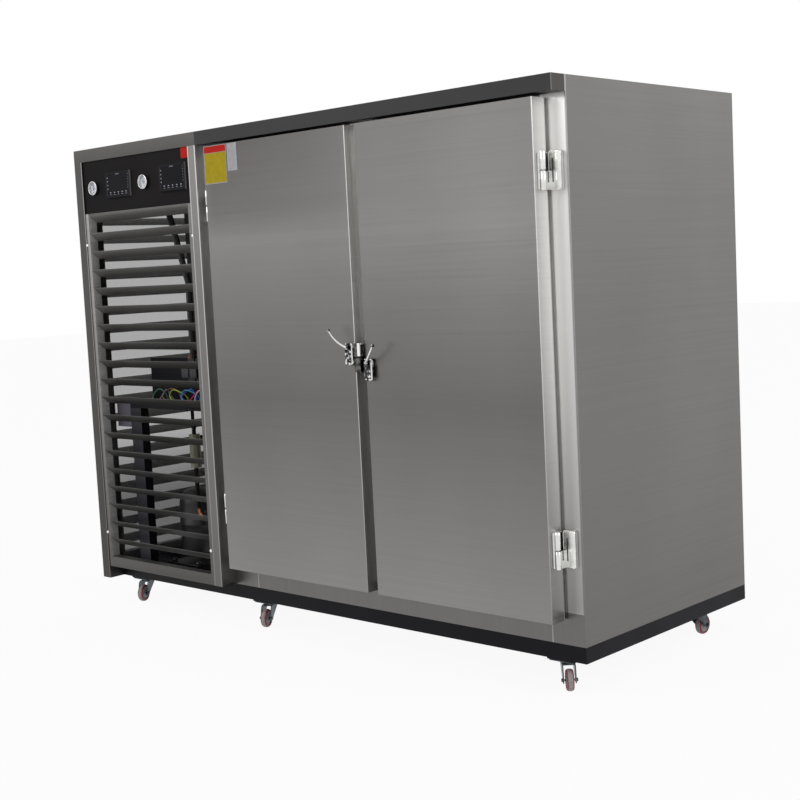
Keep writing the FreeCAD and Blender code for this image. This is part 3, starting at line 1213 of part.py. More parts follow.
receiver_x = bay_bays[1][1] - RECEIVER_RADIUS
receiver_y = rail_middles[2]
receiver_profile = [
    (RECEIVER_RADIUS, 0),
    (RECEIVER_RADIUS, RECEIVER_HEIGHT - RECEIVER_NECK),
    (RECEIVER_RADIUS / 2, RECEIVER_HEIGHT),
]
receiver = stack(receiver_profile, FreeCAD.Vector(receiver_x, receiver_y, BASE_TOP), Z_AXIS, ROUND_SIDES)
drier_x = receiver_x - DRIER_INSET
drier_y = rail_middles[1]
drier_low = FreeCAD.Vector(drier_x, drier_y, BASE_TOP + DRIER_RISE)
drier_top = drier_low + Z_AXIS * DRIER_LENGTH
save("receiver_and_drier", receiver, bar(DRIER_RADIUS, drier_low, drier_top, PIN_SIDES))

# Hot gas from both compressors to the coil, liquid to the receiver, through the drier and into the chamber,
# and the cold gas back from the chamber to each compressor
can_top = foot_top + COMPRESSOR_HEIGHT
coil_entry_z = fins_z[0] + CONDENSER_FRAME
hot_front = [FreeCAD.Vector(compressor_x, compressor_ys[0], z) for z in (can_top, coil_entry_z)]
hot_front.append(FreeCAD.Vector(compressor_x, coil_y[0], coil_entry_z))
hot_rear = [FreeCAD.Vector(compressor_x, compressor_ys[1], z) for z in (can_top, can_top + LIQUID_RISE)]
hot_rear.append(FreeCAD.Vector(compressor_x, compressor_ys[0], can_top + LIQUID_RISE))
hot_gas = bent_tube(hot_front, PIPE_RADIUS, PIPE_BEND).fuse(bent_tube(hot_rear, PIPE_RADIUS, PIPE_BEND))

port = X_AXIS * (RECEIVER_RADIUS / 2 - PIPE_RADIUS)
receiver_top = FreeCAD.Vector(receiver_x, receiver_y, BASE_TOP + RECEIVER_HEIGHT)
return_over = FreeCAD.Vector(receiver_x, receiver_y, coil_entry_z)
return_start = FreeCAD.Vector(receiver_x, coil_y[0], coil_entry_z)
condensed_path = [return_start + port, return_over + port, receiver_top + port]
condensed = bent_tube(condensed_path, PIPE_RADIUS, PIPE_BEND)

liquid_high = receiver_top + Z_AXIS * LIQUID_RISE
liquid_over = FreeCAD.Vector(drier_x, drier_y, liquid_high.z)
liquid_path = [receiver_top - port, liquid_high - port, liquid_over, drier_top]
liquid = bent_tube(liquid_path, PIPE_RADIUS, PIPE_BEND)

feed_low = drier_low - Z_AXIS * LIQUID_RISE
feed_wall = FreeCAD.Vector(DIVIDE, drier_y, feed_low.z)
feed = bent_tube([drier_low, feed_low, feed_wall], PIPE_RADIUS, PIPE_BEND)

can_flat = compressor_x + COMPRESSOR_RADIUS * math.cos(math.pi / ROUND_SIDES)
suction_z = foot_top + COMPRESSOR_HEIGHT / 2
suction_lines = []
for y in compressor_ys:
    ends = [FreeCAD.Vector(x, y, suction_z) for x in (can_flat, DIVIDE)]
    suction_lines.append(bar(PIPE_RADIUS, ends[0], ends[1], TUBE_SIDES))
save("refrigerant_pipes", hot_gas, condensed, liquid, feed, *suction_lines)
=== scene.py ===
"""Two-door quick-freezing cabinet on casters, seen from its front right corner.

The frame is in metres: X to the right seen from the front, Y to the back, Z up, origin on the floor.
Surfaces are grids or profiles:
  turned piece   p(t, a) = c + h(t) n + r(t) (cos a u + sin a v)
  swept bar      p(s, a) = c(s) + r(s) (cos a u(s) + sin a v(s))
  flat piece     corners given in the frame, with rounded corners where the real piece has them
"""
import json
import math

import bpy
import numpy as np
from mathutils import Matrix, Vector


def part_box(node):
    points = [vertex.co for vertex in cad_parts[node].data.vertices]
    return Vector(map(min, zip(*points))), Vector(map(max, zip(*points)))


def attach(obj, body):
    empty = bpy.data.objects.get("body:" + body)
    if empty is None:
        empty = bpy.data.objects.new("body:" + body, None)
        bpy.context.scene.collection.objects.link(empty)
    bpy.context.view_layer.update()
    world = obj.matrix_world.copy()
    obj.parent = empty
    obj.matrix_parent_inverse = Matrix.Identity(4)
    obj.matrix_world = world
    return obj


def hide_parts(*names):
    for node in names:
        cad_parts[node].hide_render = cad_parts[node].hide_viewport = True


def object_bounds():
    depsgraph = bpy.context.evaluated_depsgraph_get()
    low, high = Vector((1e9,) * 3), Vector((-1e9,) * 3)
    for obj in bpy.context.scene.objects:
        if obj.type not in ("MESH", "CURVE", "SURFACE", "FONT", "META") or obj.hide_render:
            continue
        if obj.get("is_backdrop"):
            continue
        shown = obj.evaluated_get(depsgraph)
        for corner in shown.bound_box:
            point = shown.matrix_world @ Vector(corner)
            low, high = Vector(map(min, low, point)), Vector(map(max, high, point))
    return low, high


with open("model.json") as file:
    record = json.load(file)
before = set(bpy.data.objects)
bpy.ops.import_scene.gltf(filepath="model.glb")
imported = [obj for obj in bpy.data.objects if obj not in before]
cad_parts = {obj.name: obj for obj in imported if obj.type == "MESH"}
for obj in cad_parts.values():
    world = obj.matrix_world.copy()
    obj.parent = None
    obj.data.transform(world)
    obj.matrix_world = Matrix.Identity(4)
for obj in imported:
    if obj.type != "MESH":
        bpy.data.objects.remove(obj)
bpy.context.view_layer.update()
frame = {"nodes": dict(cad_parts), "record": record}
nodes = frame["nodes"]


# ---------------------------------------------------------------- camera, light, floor
# The camera stands at the front right corner at eye height, turned a little about its own axis
right = Vector((0.73054461, 0.68104093, -0.04987819))
down = Vector((0.02896196, -0.10387821, -0.99416823))
ahead = Vector((-0.68225053, 0.72483969, -0.09561195))
camera_data = bpy.data.cameras.new("camera")
camera = bpy.data.objects.new("camera", camera_data)
bpy.context.scene.collection.objects.link(camera)
turn = Matrix((right, -down, -ahead)).transposed()
camera.matrix_world = Matrix.Translation((3.8862, -4.0418, 1.4244)) @ turn.to_4x4()
camera_data.sensor_width = 36
camera_data.lens = 61.6815
camera_data.clip_end = 100
bpy.context.scene.camera = camera

world = bpy.data.worlds.new("world")
bpy.context.scene.world = world
world.use_nodes = True
tree = world.node_tree
tree.nodes.clear()
output = tree.nodes.new("ShaderNodeOutputWorld")
plain = tree.nodes.new("ShaderNodeBackground")
plain.inputs["Color"].default_value = (1, 1, 1, 1)
plain.inputs["Strength"].default_value = 0.55
white = tree.nodes.new("ShaderNodeBackground")
white.inputs["Color"].default_value = (1, 1, 1, 1)
white.inputs["Strength"].default_value = 1.0
path = tree.nodes.new("ShaderNodeLightPath")
seen = tree.nodes.new("ShaderNodeMath")
seen.operation = "MAXIMUM"
tree.links.new(path.outputs["Is Camera Ray"], seen.inputs[0])
glossy = tree.nodes.new("ShaderNodeMath")
glossy.operation = "MAXIMUM"
tree.links.new(path.outputs["Is Glossy Ray"], glossy.inputs[0])
tree.links.new(path.outputs["Is Transmission Ray"], glossy.inputs[1])
tree.links.new(glossy.outputs[0], seen.inputs[1])
blend = tree.nodes.new("ShaderNodeMixShader")
tree.links.new(seen.outputs[0], blend.inputs["Fac"])
tree.links.new(plain.outputs[0], blend.inputs[1])
tree.links.new(white.outputs[0], blend.inputs[2])
tree.links.new(blend.outputs[0], output.inputs["Surface"])


def lamp(name, place, aim, size, power):
    """A large soft lamp that points at aim."""
    data = bpy.data.lights.new(name, "AREA")
    data.shape = "SQUARE"
    data.size = size
    data.energy = power
    obj = bpy.data.objects.new(name, data)
    bpy.context.scene.collection.objects.link(obj)
    obj.location = place
    obj.rotation_mode = "QUATERNION"
    obj.rotation_quaternion = (Vector(aim) - Vector(place)).to_track_quat("-Z", "Y")
    return obj


lamp("lamp_front", (-3.0, -5.5, 4.5), (0, 0, 1.0), 3.5, 110)
lamp("lamp_right", (6.0, 0.5, 4.0), (0.6, 0, 1.0), 3.5, 90)

def mesh_object(name, points, faces, smooth=False):
    """A mesh object at the origin whose place is in its vertices."""
    mesh = bpy.data.meshes.new(name)
    mesh.from_pydata(np.asarray(points, float).tolist(), [], faces)
    if smooth:
        mesh.shade_smooth()
    obj = bpy.data.objects.new(name, mesh)
    bpy.context.scene.collection.objects.link(obj)
    return obj


def linear(level):
    """A display value from 0 to 255 as a linear one."""
    c = level / 255
    return c / 12.92 if c <= 0.04045 else ((c + 0.055) / 1.055) ** 2.4


def grey(*levels):
    """A linear colour from one or three display values."""
    if len(levels) == 1:
        levels = levels * 3
    return tuple(linear(v) for v in levels) + (1.0,)


# Ground stainless is a touch warm: each step of the three colours is this much lower
WARM = 1.5


class Look:
    """A material and short ways to add nodes to it."""

    def __init__(self, name, colour, rough, metal=0.0, **more):
        self.material = bpy.data.materials.new(name)
        self.material.use_nodes = True
        self.tree = self.material.node_tree
        self.shader = self.tree.nodes["Principled BSDF"]
        self.set("Base Color", colour)
        self.set("Roughness", rough)
        self.set("Metallic", metal)
        for key, value in more.items():
            self.set(key.replace("_", " "), value)

    def set(self, socket, value):
        self.shader.inputs[socket].default_value = value

    def add(self, kind, **values):
        node = self.tree.nodes.new(kind)
        for key, value in values.items():
            if hasattr(node, key):
                setattr(node, key, value)
            else:
                node.inputs[key.replace("_", " ")].default_value = value
        return node

    def join(self, start, end):
        self.tree.links.new(start, end)

    def place(self, scale=(1, 1, 1), shift=(0, 0, 0)):
        """The place in the object's own frame, scaled per direction."""
        coords = self.add("ShaderNodeTexCoord")
        mapping = self.add("ShaderNodeMapping")
        mapping.inputs["Scale"].default_value = scale
        mapping.inputs["Location"].default_value = shift
        self.join(coords.outputs["Object"], mapping.inputs["Vector"])
        return mapping.outputs["Vector"]

    def noise(self, scale, size=1.0, detail=3.0, rough=0.5, shift=(0, 0, 0)):
        node = self.add("ShaderNodeTexNoise")
        node.inputs["Scale"].default_value = size
        node.inputs["Detail"].default_value = detail
        node.inputs["Roughness"].default_value = rough
        self.join(self.place(scale, shift), node.inputs["Vector"])
        return node.outputs["Fac"]

    def axis(self, index):
        """One coordinate of the place."""
        split = self.add("ShaderNodeSeparateXYZ")
        self.join(self.place(), split.inputs["Vector"])
        return split.outputs[index]

    def normal(self, index):
        """One part of the face's direction."""
        split = self.add("ShaderNodeSeparateXYZ")
        geometry = self.add("ShaderNodeNewGeometry")
        self.join(geometry.outputs["True Normal"], split.inputs["Vector"])
        return split.outputs[index]

    def zone(self, x=None, y=None, z=None, nx=None, ny=None, soft=0.0004):
        """A mask that is 1 between the places given and, with nx or ny, on faces that look one way."""
        mask = None
        for index, span in enumerate((x, y, z)):
            if span:
                place = self.axis(index)
                for value in (
                    self.range(place, span[0] - soft, span[0] + soft),
                    self.range(place, span[1] - soft, span[1] + soft, 1.0, 0.0),
                ):
                    mask = value if mask is None else self.math("MULTIPLY", mask, value)
        for index, way in enumerate((nx, ny)):
            if way:
                facing = self.math("MULTIPLY", self.normal(index), float(way))
                value = self.range(facing, 0.45, 0.55)
                mask = value if mask is None else self.math("MULTIPLY", mask, value)
        return mask

    def tones(self, stops, index=2):
        """Display colours by place along one direction."""
        low, high = stops[0][0], stops[-1][0]
        fac = self.range(self.axis(index), low, high)
        return self.ramp(
            fac,
            [((at - low) / (high - low), grey(tone, tone - WARM, tone - 2 * WARM)) for at, tone in stops]
        )

    def paint(self, under, mask, stops, index=2):
        """The tones laid over what is under them, where the mask is 1."""
        return self.mix(mask, under, self.tones(stops, index))

    def range(self, value, a, b, c=0.0, d=1.0):
        """value from a..b turned into c..d and kept between them."""
        node = self.add("ShaderNodeMapRange")
        node.clamp = True
        for key, number in zip(("From Min", "From Max", "To Min", "To Max"), (a, b, c, d)):
            node.inputs[key].default_value = number
        self.join(value, node.inputs["Value"])
        return node.outputs["Result"]

    def math(self, kind, a, b=None):
        node = self.add("ShaderNodeMath", operation=kind)
        for socket, value in zip(node.inputs, (a, b)):
            if value is None:
                continue
            if isinstance(value, (int, float)):
                socket.default_value = value
            else:
                self.join(value, socket)
        return node.outputs[0]

    def ramp(self, value, stops):
        """Colours at places between 0 and 1."""
        node = self.add("ShaderNodeValToRGB")
        elements = node.color_ramp.elements
        while len(elements) < len(stops):
            elements.new(0.5)
        for element, (place, colour) in zip(elements, stops):
            element.position = place
            element.color = colour
        self.join(value, node.inputs["Fac"])
        return node.outputs["Color"]

    def mix(self, fac, a, b, kind="MIX"):
        node = self.add("ShaderNodeMix", data_type="RGBA", blend_type=kind)
        for socket, value in ((node.inputs[0], fac), (node.inputs[6], a), (node.inputs[7], b)):
            if isinstance(value, (int, float, tuple)):
                socket.default_value = value
            else:
                self.join(value, socket)
        return node.outputs[2]

    def bump(self, height, strength, distance=0.001):
        node = self.add("ShaderNodeBump")
        node.inputs["Strength"].default_value = strength
        node.inputs["Distance"].default_value = distance
        self.join(height, node.inputs["Height"])
        self.join(node.outputs["Normal"], self.shader.inputs["Normal"])

    def lift(self, mask, index, a, b, c, d):
        """Painted light or shade: the tone times c at place a to d at place b, where the mask is 1."""
        times = self.range(self.axis(index), a, b, c - 1, d - 1)
        self.factor = self.math(
            "MULTIPLY", self.factor, self.math("ADD", self.math("MULTIPLY", mask, times), 1.0)
        )
        self.finish()

    def finish(self):
        """The scratches and the soft clouds of painted sheen over the tones so far."""
        shade = self.add("ShaderNodeCombineColor")
        for socket in shade.inputs[:3]:
            self.join(self.factor, socket)
        self.colour(self.mix(1.0, self.tone, shade.outputs[0], "MULTIPLY"))

    def over(self, mask, stops, index=2):
        """Painted light or shade: another tone on part of a brushed sheet."""
        self.tone = self.paint(self.tone, mask, stops, index)
        self.finish()

    def colour(self, socket):
        self.join(socket, self.shader.inputs["Base Color"])

    def roughness(self, socket):
        self.join(socket, self.shader.inputs["Roughness"])


def wear(obj, look, body=None, *replaced):
    """The material on a finer piece, which rides on a body and may stand for CAD nodes."""
    obj.data.materials.clear()
    obj.data.materials.append(look.material)
    if body:
        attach(obj, body)
    if replaced:
        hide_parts(*replaced)
    return obj


floor = mesh_object("floor", [(-30, -30, 0), (30, -30, 0), (30, 30, 0), (-30, 30, 0)], [(0, 1, 2, 3)])
floor_look = Look("floor", (0.9, 0.9, 0.9, 1), 0.9)
light_path = floor_look.add("ShaderNodeLightPath")
glow = floor_look.add("ShaderNodeEmission")
glow.inputs["Color"].default_value = (1, 1, 1, 1)
glow.inputs["Strength"].default_value = 1.0
both = floor_look.add("ShaderNodeMixShader")
out = next(n for n in floor_look.tree.nodes if n.type == "OUTPUT_MATERIAL")
# The floor is white to the eye, with a share of its own shading so that the shadow stays
share = floor_look.math(
    "MULTIPLY",
    floor_look.math("MAXIMUM", light_path.outputs["Is Camera Ray"], light_path.outputs["Is Glossy Ray"]),
    0.93
)
floor_look.join(share, both.inputs["Fac"])
floor_look.join(floor_look.shader.outputs[0], both.inputs[1])
floor_look.join(glow.outputs[0], both.inputs[2])
floor_look.join(both.outputs[0], out.inputs["Surface"])
wear(floor, floor_look)
floor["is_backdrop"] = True

bpy.context.scene.view_settings.view_transform = "Standard"


# ---------------------------------------------------------------- insulated chamber
# The chamber's outer skins are ground stainless sheet folded round a foam core, with a stainless liner inside.
# The corner folds carry painted highlights, and the flat sheet is a little darker low down as painted shade.

def steel(name, stops, rough=0.34, streak=0.03, cloud=0.045, upright=False):
    """Brushed stainless sheet: fine parallel scratches, soft clouds of painted sheen, and tones over the
    height that are painted shade and sheen.
    """
    look = Look(name, grey(128), rough, 1.0)
    fine, wide = ((900, 900, 2), (140, 140, 1.2)) if upright else ((2, 2, 900), (1.2, 1.2, 140))
    scratch = look.math("ADD", look.noise(fine, detail=2.0), look.noise(wide, detail=3.0))
    lines = look.range(scratch, 0.7, 1.3, 1 - streak, 1 + streak)
    # Soft clouds of painted sheen
    clouds = look.range(look.noise((1.1, 1.1, 0.7), size=1.6, detail=2.0), 0.3, 0.7, 1 - cloud, 1 + cloud)
    look.factor = look.math("MULTIPLY", lines, clouds)
    look.roughness(
        look.range(look.noise(wide, detail=2.0, shift=(3, 1, 2)), 0.3, 0.7, rough - 0.05, rough + 0.06)
    )
    look.bump(scratch, 0.04, 0.0003)
    look.tone = look.tones(stops)
    look.finish()
    return look


def give(look, *names):
    """The material goes into the slots of these CAD nodes."""
    for name in names:
        slots = nodes[name].data.materials
        slots.clear()
        slots.append(look.material)


side_steel = steel("side_steel", [(0.16, 110), (2.0, 130)])
# A painted highlight along the side panel's front fold, and a painted reflection on the left skin's face into
# the bay
side_steel.over(side_steel.zone(y=(-0.470, -0.463), nx=1), [(0.16, 110), (2.0, 180)])
side_steel.over(side_steel.zone(x=(-0.47, -0.45), nx=-1), [(0.16, 200), (2.0, 200)])
give(side_steel, "chamber_outer_panels", "roof_panels")

# Front frame: posts, sill, head and the post between the doors. Their faces in the gaps beside the doors are
# painted pale as painted reflections, the right post's outer strip is darker as painted shade, and the sill's
# seams carry painted highlights
frame_steel = steel("frame_steel", [(0.16, 110), (2.0, 120)], upright=True)
above_sill = (0.269, 1.96)
frame_steel.over(
    frame_steel.zone(x=(1.20, 1.32), z=above_sill, ny=-1), [(0.27, 170), (1.2, 225), (1.96, 230)]
)
frame_steel.lift(frame_steel.zone(x=(1.20, 1.32), z=above_sill, ny=-1), 0, 1.235, 1.295, 1.12, 0.87)
frame_steel.over(frame_steel.zone(x=(1.2945, 1.32), z=above_sill, ny=-1), [(0.27, 140), (1.96, 190)])
frame_steel.over(frame_steel.zone(x=(0.34, 0.48), z=above_sill, ny=-1), [(0.27, 225), (1.96, 240)])
frame_steel.over(frame_steel.zone(x=(-0.47, -0.34), z=above_sill, ny=-1), [(0.27, 225), (1.96, 240)])
for seam in (-0.318, 1.166):
    frame_steel.over(
        frame_steel.zone(x=(seam - 0.002, seam + 0.002), z=(0.16, 0.268), ny=-1), [(0.16, 160), (0.27, 130)]
    )
give(frame_steel, "front_frame")
# The liner grows a little darker towards the bottom, as painted shade
liner_steel = steel("liner_steel", [(0.2, 165), (2.0, 178)], streak=0.03)
give(liner_steel, "inner_liner", "left_door_liner", "right_door_liner")

# Fascia: black painted sheet whose end facing right is painted a lighter grey as painted sheen, with painted
# highlights along its front and rear folds
black = Look("black_paint", grey(30, 29, 30), 0.45, Specular_IOR_Level=0.12)
black.bump(black.noise((60, 60, 60), detail=4.0), 0.05, 0.0005)
black.roughness(black.range(black.noise((3, 3, 3)), 0.3, 0.7, 0.4, 0.55))
black.colour(black.ramp(black.noise((1.5, 1.5, 4)), [(0.3, grey(9, 9, 14)), (0.7, grey(15, 15, 21))]))
give(black, "base_frame", "electrical_shelf")
fascia = Look("fascia_paint", grey(34), 0.5, Specular_IOR_Level=0.3)
face = fascia.ramp(fascia.noise((1.5, 1.5, 6)), [(0.3, grey(36, 36, 37)), (0.7, grey(42, 42, 43))])
face = fascia.paint(face, fascia.zone(nx=1), [(1.95, 75), (2.0, 75)])
face = fascia.paint(face, fascia.zone(y=(-0.5425, -0.5385), nx=1), [(1.95, 140), (2.0, 140)])
face = fascia.paint(face, fascia.zone(y=(-0.4705, -0.466), nx=1), [(1.95, 180), (2.0, 180)])
fascia.colour(face)
give(fascia, "top_fascia")

# ---------------------------------------------------------------- doors
# Each door is a pan folded from ground stainless sheet, filled with foam and closed by an inner liner.
# A rubber gasket runs round its back. The edges that face into the gaps are painted paler than the front as
# painted reflections, and the front's tones over the height are painted sheen and shade.
door_steel = steel("door_steel", [(0.24, 135), (0.95, 108), (1.55, 130), (1.94, 105)])
# The left door is painted darker towards its upper hinge corner, as painted shade
door_steel.lift(door_steel.zone(x=(-0.41, 0.40), z=(1.62, 2.1), ny=-1, soft=0.05), 0, -0.4, 0.38, 0.75, 0.9)
# Painted reflections on the door flanks that face right, brighter towards the back on the right door and
# fading into painted shade towards the back on the left one
door_steel.over(door_steel.zone(x=(1.2, 1.26), nx=1), [(0.25, 175), (1.2, 225), (1.94, 235)])
door_steel.lift(door_steel.zone(x=(1.2, 1.26), nx=1), 1, -0.54, -0.49, 0.82, 1.12)
door_steel.over(door_steel.zone(x=(0.37, 0.40), nx=1), [(0.25, 150), (1.05, 165), (1.2, 225), (1.94, 230)])
door_steel.lift(door_steel.zone(x=(0.37, 0.40), nx=1), 1, -0.535, -0.49, 1.1, 0.55)
# Painted reflections on the door flanks that face left
for edge in (0.434, -0.406):
    door_steel.over(door_steel.zone(x=(edge - 0.01, edge + 0.02), nx=-1), [(0.25, 225), (1.94, 240)])
# Painted highlights: bright lines along the doors' right front edges
for edge in (0.384, 1.224):
    door_steel.over(
        door_steel.zone(x=(edge - 0.004, edge + 0.001), ny=-1), [(0.25, 140), (1.2, 200), (1.94, 195)]
    )
give(door_steel, "left_door_skin", "right_door_skin")

# The gasket is coloured pale grey, far lighter than its rubber, as painted light in the gaps round the doors
rubber = Look("gasket_rubber", grey(72), 0.6)
rubber.colour(
    rubber.ramp(rubber.noise((20, 20, 20)), [(0.3, grey(150, 150, 150)), (0.7, grey(168, 168, 167))])
)
give(rubber, "left_door_gasket", "right_door_gasket")
foam = Look("foam", grey(225, 210, 160), 0.9)
foam.bump(foam.noise((200, 200, 200)), 0.4)
foam.colour(foam.ramp(foam.noise((40, 40, 40)), [(0.3, grey(215, 198, 146)), (0.7, grey(232, 218, 172))]))
give(foam, "foam_insulation", "left_door_foam", "right_door_foam")

# Stickers on the left door and on the panel, left bare of words
door_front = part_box("left_door_skin")[0].y

def round_edges(obj, width, segments=2):
    """Rounds the sharp edges, as folding or casting does."""
    modifier = obj.modifiers.new("round", "BEVEL")
    modifier.width = width
    modifier.segments = segments
    modifier.limit_method = "ANGLE"
    modifier.angle_limit = math.radians(40)
    modifier.harden_normals = False
    return obj


def box(name, low, high, bevel=0.0):
    """A block between two corners, its edges rounded when bevel is given."""
    x0, y0, z0 = low
    x1, y1, z1 = high
    points = [
        (x0, y0, z0), (x1, y0, z0), (x1, y1, z0), (x0, y1, z0), (x0, y0, z1), (x1, y0, z1), (x1, y1, z1),
        (x0, y1, z1)
    ]
    faces = [(0, 3, 2, 1), (4, 5, 6, 7), (0, 1, 5, 4), (1, 2, 6, 5), (2, 3, 7, 6), (3, 0, 4, 7)]
    obj = mesh_object(name, points, faces)
    if bevel:
        round_edges(obj, bevel)
    return obj


def sticker(name, look, x, z, front, body):
    """A thin printed film on a face that looks forward."""
    film = box(name, (x[0], front - 0.0006, z[0]), (x[1], front, z[1]))
    return wear(film, look, body)


def film_look(name, *colour):
    look = Look(name, grey(*colour), 0.5, Specular_IOR_Level=0.1)
    low = tuple(v * 0.93 for v in colour)
    look.colour(
        look.ramp(look.noise((60, 60, 60), detail=5.0), [(0.35, grey(*low)), (0.65, grey(*colour))])
    )
    return look


yellow = film_look("sticker_yellow", 176, 156, 26)
red = film_look("sticker_red", 190, 30, 20)
pale = film_look("sticker_white", 176, 175, 180)
sticker("door_sticker_backing", pale, (-0.4045, -0.2700), (1.7905, 1.9390), door_front, "left_door")
sticker(
    "door_sticker_yellow", yellow, (-0.4015, -0.2730), (1.7940, 1.9100), door_front - 0.0006, "left_door"
)
sticker("door_sticker_red", red, (-0.4015, -0.2730), (1.9120, 1.9370), door_front - 0.0006, "left_door")
sticker("door_sticker_white", pale, (-0.2640, -0.2070), (1.8330, 1.9390), door_front, "left_door")


# ---------------------------------------------------------------- hinges
# Each hinge has two bright castings on one pin, screwed to the door and to the frame.
# A half is a rounded plate, a domed knuckle and the web between them; a thin dark film on the frame's plate is
# painted shade of a slot.
chrome = Look("chrome", grey(225), 0.12, 1.0)
chrome.roughness(chrome.range(chrome.noise((40, 40, 40)), 0.3, 0.7, 0.12, 0.24))
chrome.colour(
    chrome.ramp(chrome.noise((25, 25, 25)), [(0.3, grey(214, 214, 212)), (0.7, grey(236, 236, 234))])
)
# Near black, for the painted shade of the hinge slots
dark = Look("painted_slot_shade", grey(26, 26, 28), 0.6)
dark.roughness(dark.range(dark.noise((50, 50, 50)), 0.3, 0.7, 0.5, 0.7))

def grid_faces(rows, columns, closed):
    """The quads of a grid of rows by columns, joined round when closed."""
    i, j = np.meshgrid(np.arange(rows - 1), np.arange(columns if closed else columns - 1), indexing="ij")
    k = (j + 1) % columns
    return np.stack(
        [i * columns + j, i * columns + k, (i + 1) * columns + k, (i + 1) * columns + j], -1
    ).reshape(-1, 4)


def frame_of(axis):
    """Two directions square to an axis and to each other."""
    n = np.array(axis, float)
    n /= np.linalg.norm(n)
    side = np.array((0.0, 0.0, 1.0)) if abs(n[2]) < 0.9 else np.array((1.0, 0.0, 0.0))
    u = np.cross(side, n)
    u /= np.linalg.norm(u)
    return n, u, np.cross(n, u)


def turned(name, centre, axis, profile, around=48, smooth=True):
    """A closed surface of revolution from (radius, height) pairs."""
    n, u, v = frame_of(axis)
    a = np.linspace(0, 2 * math.pi, around, endpoint=False)
    circle = np.cos(a)[:, None] * u + np.sin(a)[:, None] * v
    rings = [np.array(centre) + h * n + r * circle for r, h in profile]
    points = np.concatenate(rings)
    faces = grid_faces(len(profile), around, True)
    return mesh_object(name, points, faces.tolist(), smooth)


def joined(name, pieces):
    """Several meshes as one object, their modifiers applied."""
    graph = bpy.context.evaluated_depsgraph_get()
    points, faces, flags = [], [], []
    for piece in pieces:
        mesh = piece.evaluated_get(graph).to_mesh()
        count = sum(len(p) for p in points)
        places = np.empty(len(mesh.vertices) * 3)
        mesh.vertices.foreach_get("co", places)
        points.append(places.reshape(-1, 3))
        faces.extend([[count + i for i in polygon.vertices] for polygon in mesh.polygons])
        flags.extend([polygon.use_smooth for polygon in mesh.polygons])
    for piece in pieces:
        bpy.data.objects.remove(piece)
    obj = mesh_object(name, np.concatenate(points), faces)
    obj.data.polygons.foreach_set("use_smooth", flags)
    return obj


def plate_xz(name, x, z, y, corner, bevel):
    """A flat plate across the front, its corners rounded and its edges softened."""
    a = np.linspace(0, math.pi / 2, 7)
    outline = []
    for cx, cz, turn in (
        (x[1] - corner, z[1] - corner, 0), (x[0] + corner, z[1] - corner, 1),
        (x[0] + corner, z[0] + corner, 2), (x[1] - corner, z[0] + corner, 3),
    ):
        t = a + turn * math.pi / 2
        outline.append(np.stack([cx + corner * np.cos(t), cz + corner * np.sin(t)], 1))
    outline = np.concatenate(outline)
    n = len(outline)
    points = [(px, py, pz) for py in (y[0], y[1]) for px, pz in outline]
    faces = [tuple(range(n)), tuple(range(2 * n - 1, n - 1, -1))]
    faces += [(i, n + i, n + (i + 1) % n, (i + 1) % n) for i in range(n)]
    obj = mesh_object(name, points, faces)
    if bevel:
        round_edges(obj, bevel, 3)
        obj.modifiers["round"].angle_limit = math.radians(60)
    return obj


def knuckle(name, x, y, low, high, radius):
    """A barrel with softly domed ends."""
    dome = radius * 0.35
    profile = [(0.001, low), (radius * 0.7, low + dome * 0.15), (radius, low + dome), (radius, high - dome),
               (radius * 0.7, high - dome * 0.15), (0.001, high)]
    return turned(name, (x, y, 0), (0, 0, 1), profile, 32)


pivots = {j["name"]: j for j in frame["record"]["behaviour"]["joints"]}
HINGE_HEIGHT = 0.127
for side, way in (("left", -1), ("right", 1)):
    pivot = pivots[side + "_door_hinge"]["pos_m"]
    leaf_low, leaf_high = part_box(side + "_door_hinge_leaves")
    leaf_x = (leaf_low.x, pivot[0] - 0.01) if way > 0 else (pivot[0] + 0.01, leaf_high.x)
    frame_x = (pivot[0] - 0.005, 1.285) if way > 0 else (-0.454, pivot[0] + 0.005)
    leaves = []
    for low in (leaf_low.z, leaf_high.z - HINGE_HEIGHT):
        middle, top = low + HINGE_HEIGHT / 2, low + HINGE_HEIGHT
        leaves.append(
            box(
                "leaf", (leaf_x[0], leaf_low.y + 0.002, low + 0.004), (leaf_x[1], -0.4805, top - 0.004),
                0.003
            )
        )
        leaves.append(knuckle("barrel", pivot[0], pivot[1], middle + 0.001, top, 0.0093))
        web = sorted((leaf_x[0] + 0.001 if way > 0 else leaf_x[1] - 0.001, pivot[0]))
        leaves.append(
            box(
                "web", (web[0], pivot[1] - 0.0045, middle + 0.001),
                (web[1], pivot[1] + 0.0045, top - 0.003), 0.002
            )
        )
        plate = plate_xz("plate", frame_x, (low, top), (-0.489, -0.467), 0.011, 0.005)
        foot = knuckle("foot", pivot[0], pivot[1], low, middle - 0.001, 0.0093)
        arm = box(
            "arm", (pivot[0] - 0.0048, pivot[1], low + 0.002), (pivot[0] + 0.0048, -0.486, middle - 0.002),
            0.002
        )
        name = "%s_%s" % (side, "low" if low < 1 else "high")
        casting = joined("frame_hinge_" + name, [plate, foot, arm])
        wear(casting, chrome, "cabinet", "frame_hinge_leaves")
        # A thin dark film on the plate, as painted shade of the slot
        slot_x = pivot[0] + way * 0.014
        slot = box(
            "hinge_slot_" + name, (slot_x - 0.0022, -0.4894, low + 0.026),
            (slot_x + 0.0022, -0.4886, top - 0.026)
        )
        wear(slot, dark, "cabinet")
    wear(joined(side + "_door_hinge_castings", leaves), chrome, side + "_door", side + "_door_hinge_leaves")


# ---------------------------------------------------------------- latches
# Each door has a cast case held by screws, a round hub and a thin lever that curves up and out to a ball end.
# The lever's spindle goes through the case and turns a tongue behind the keeper on the centre post.

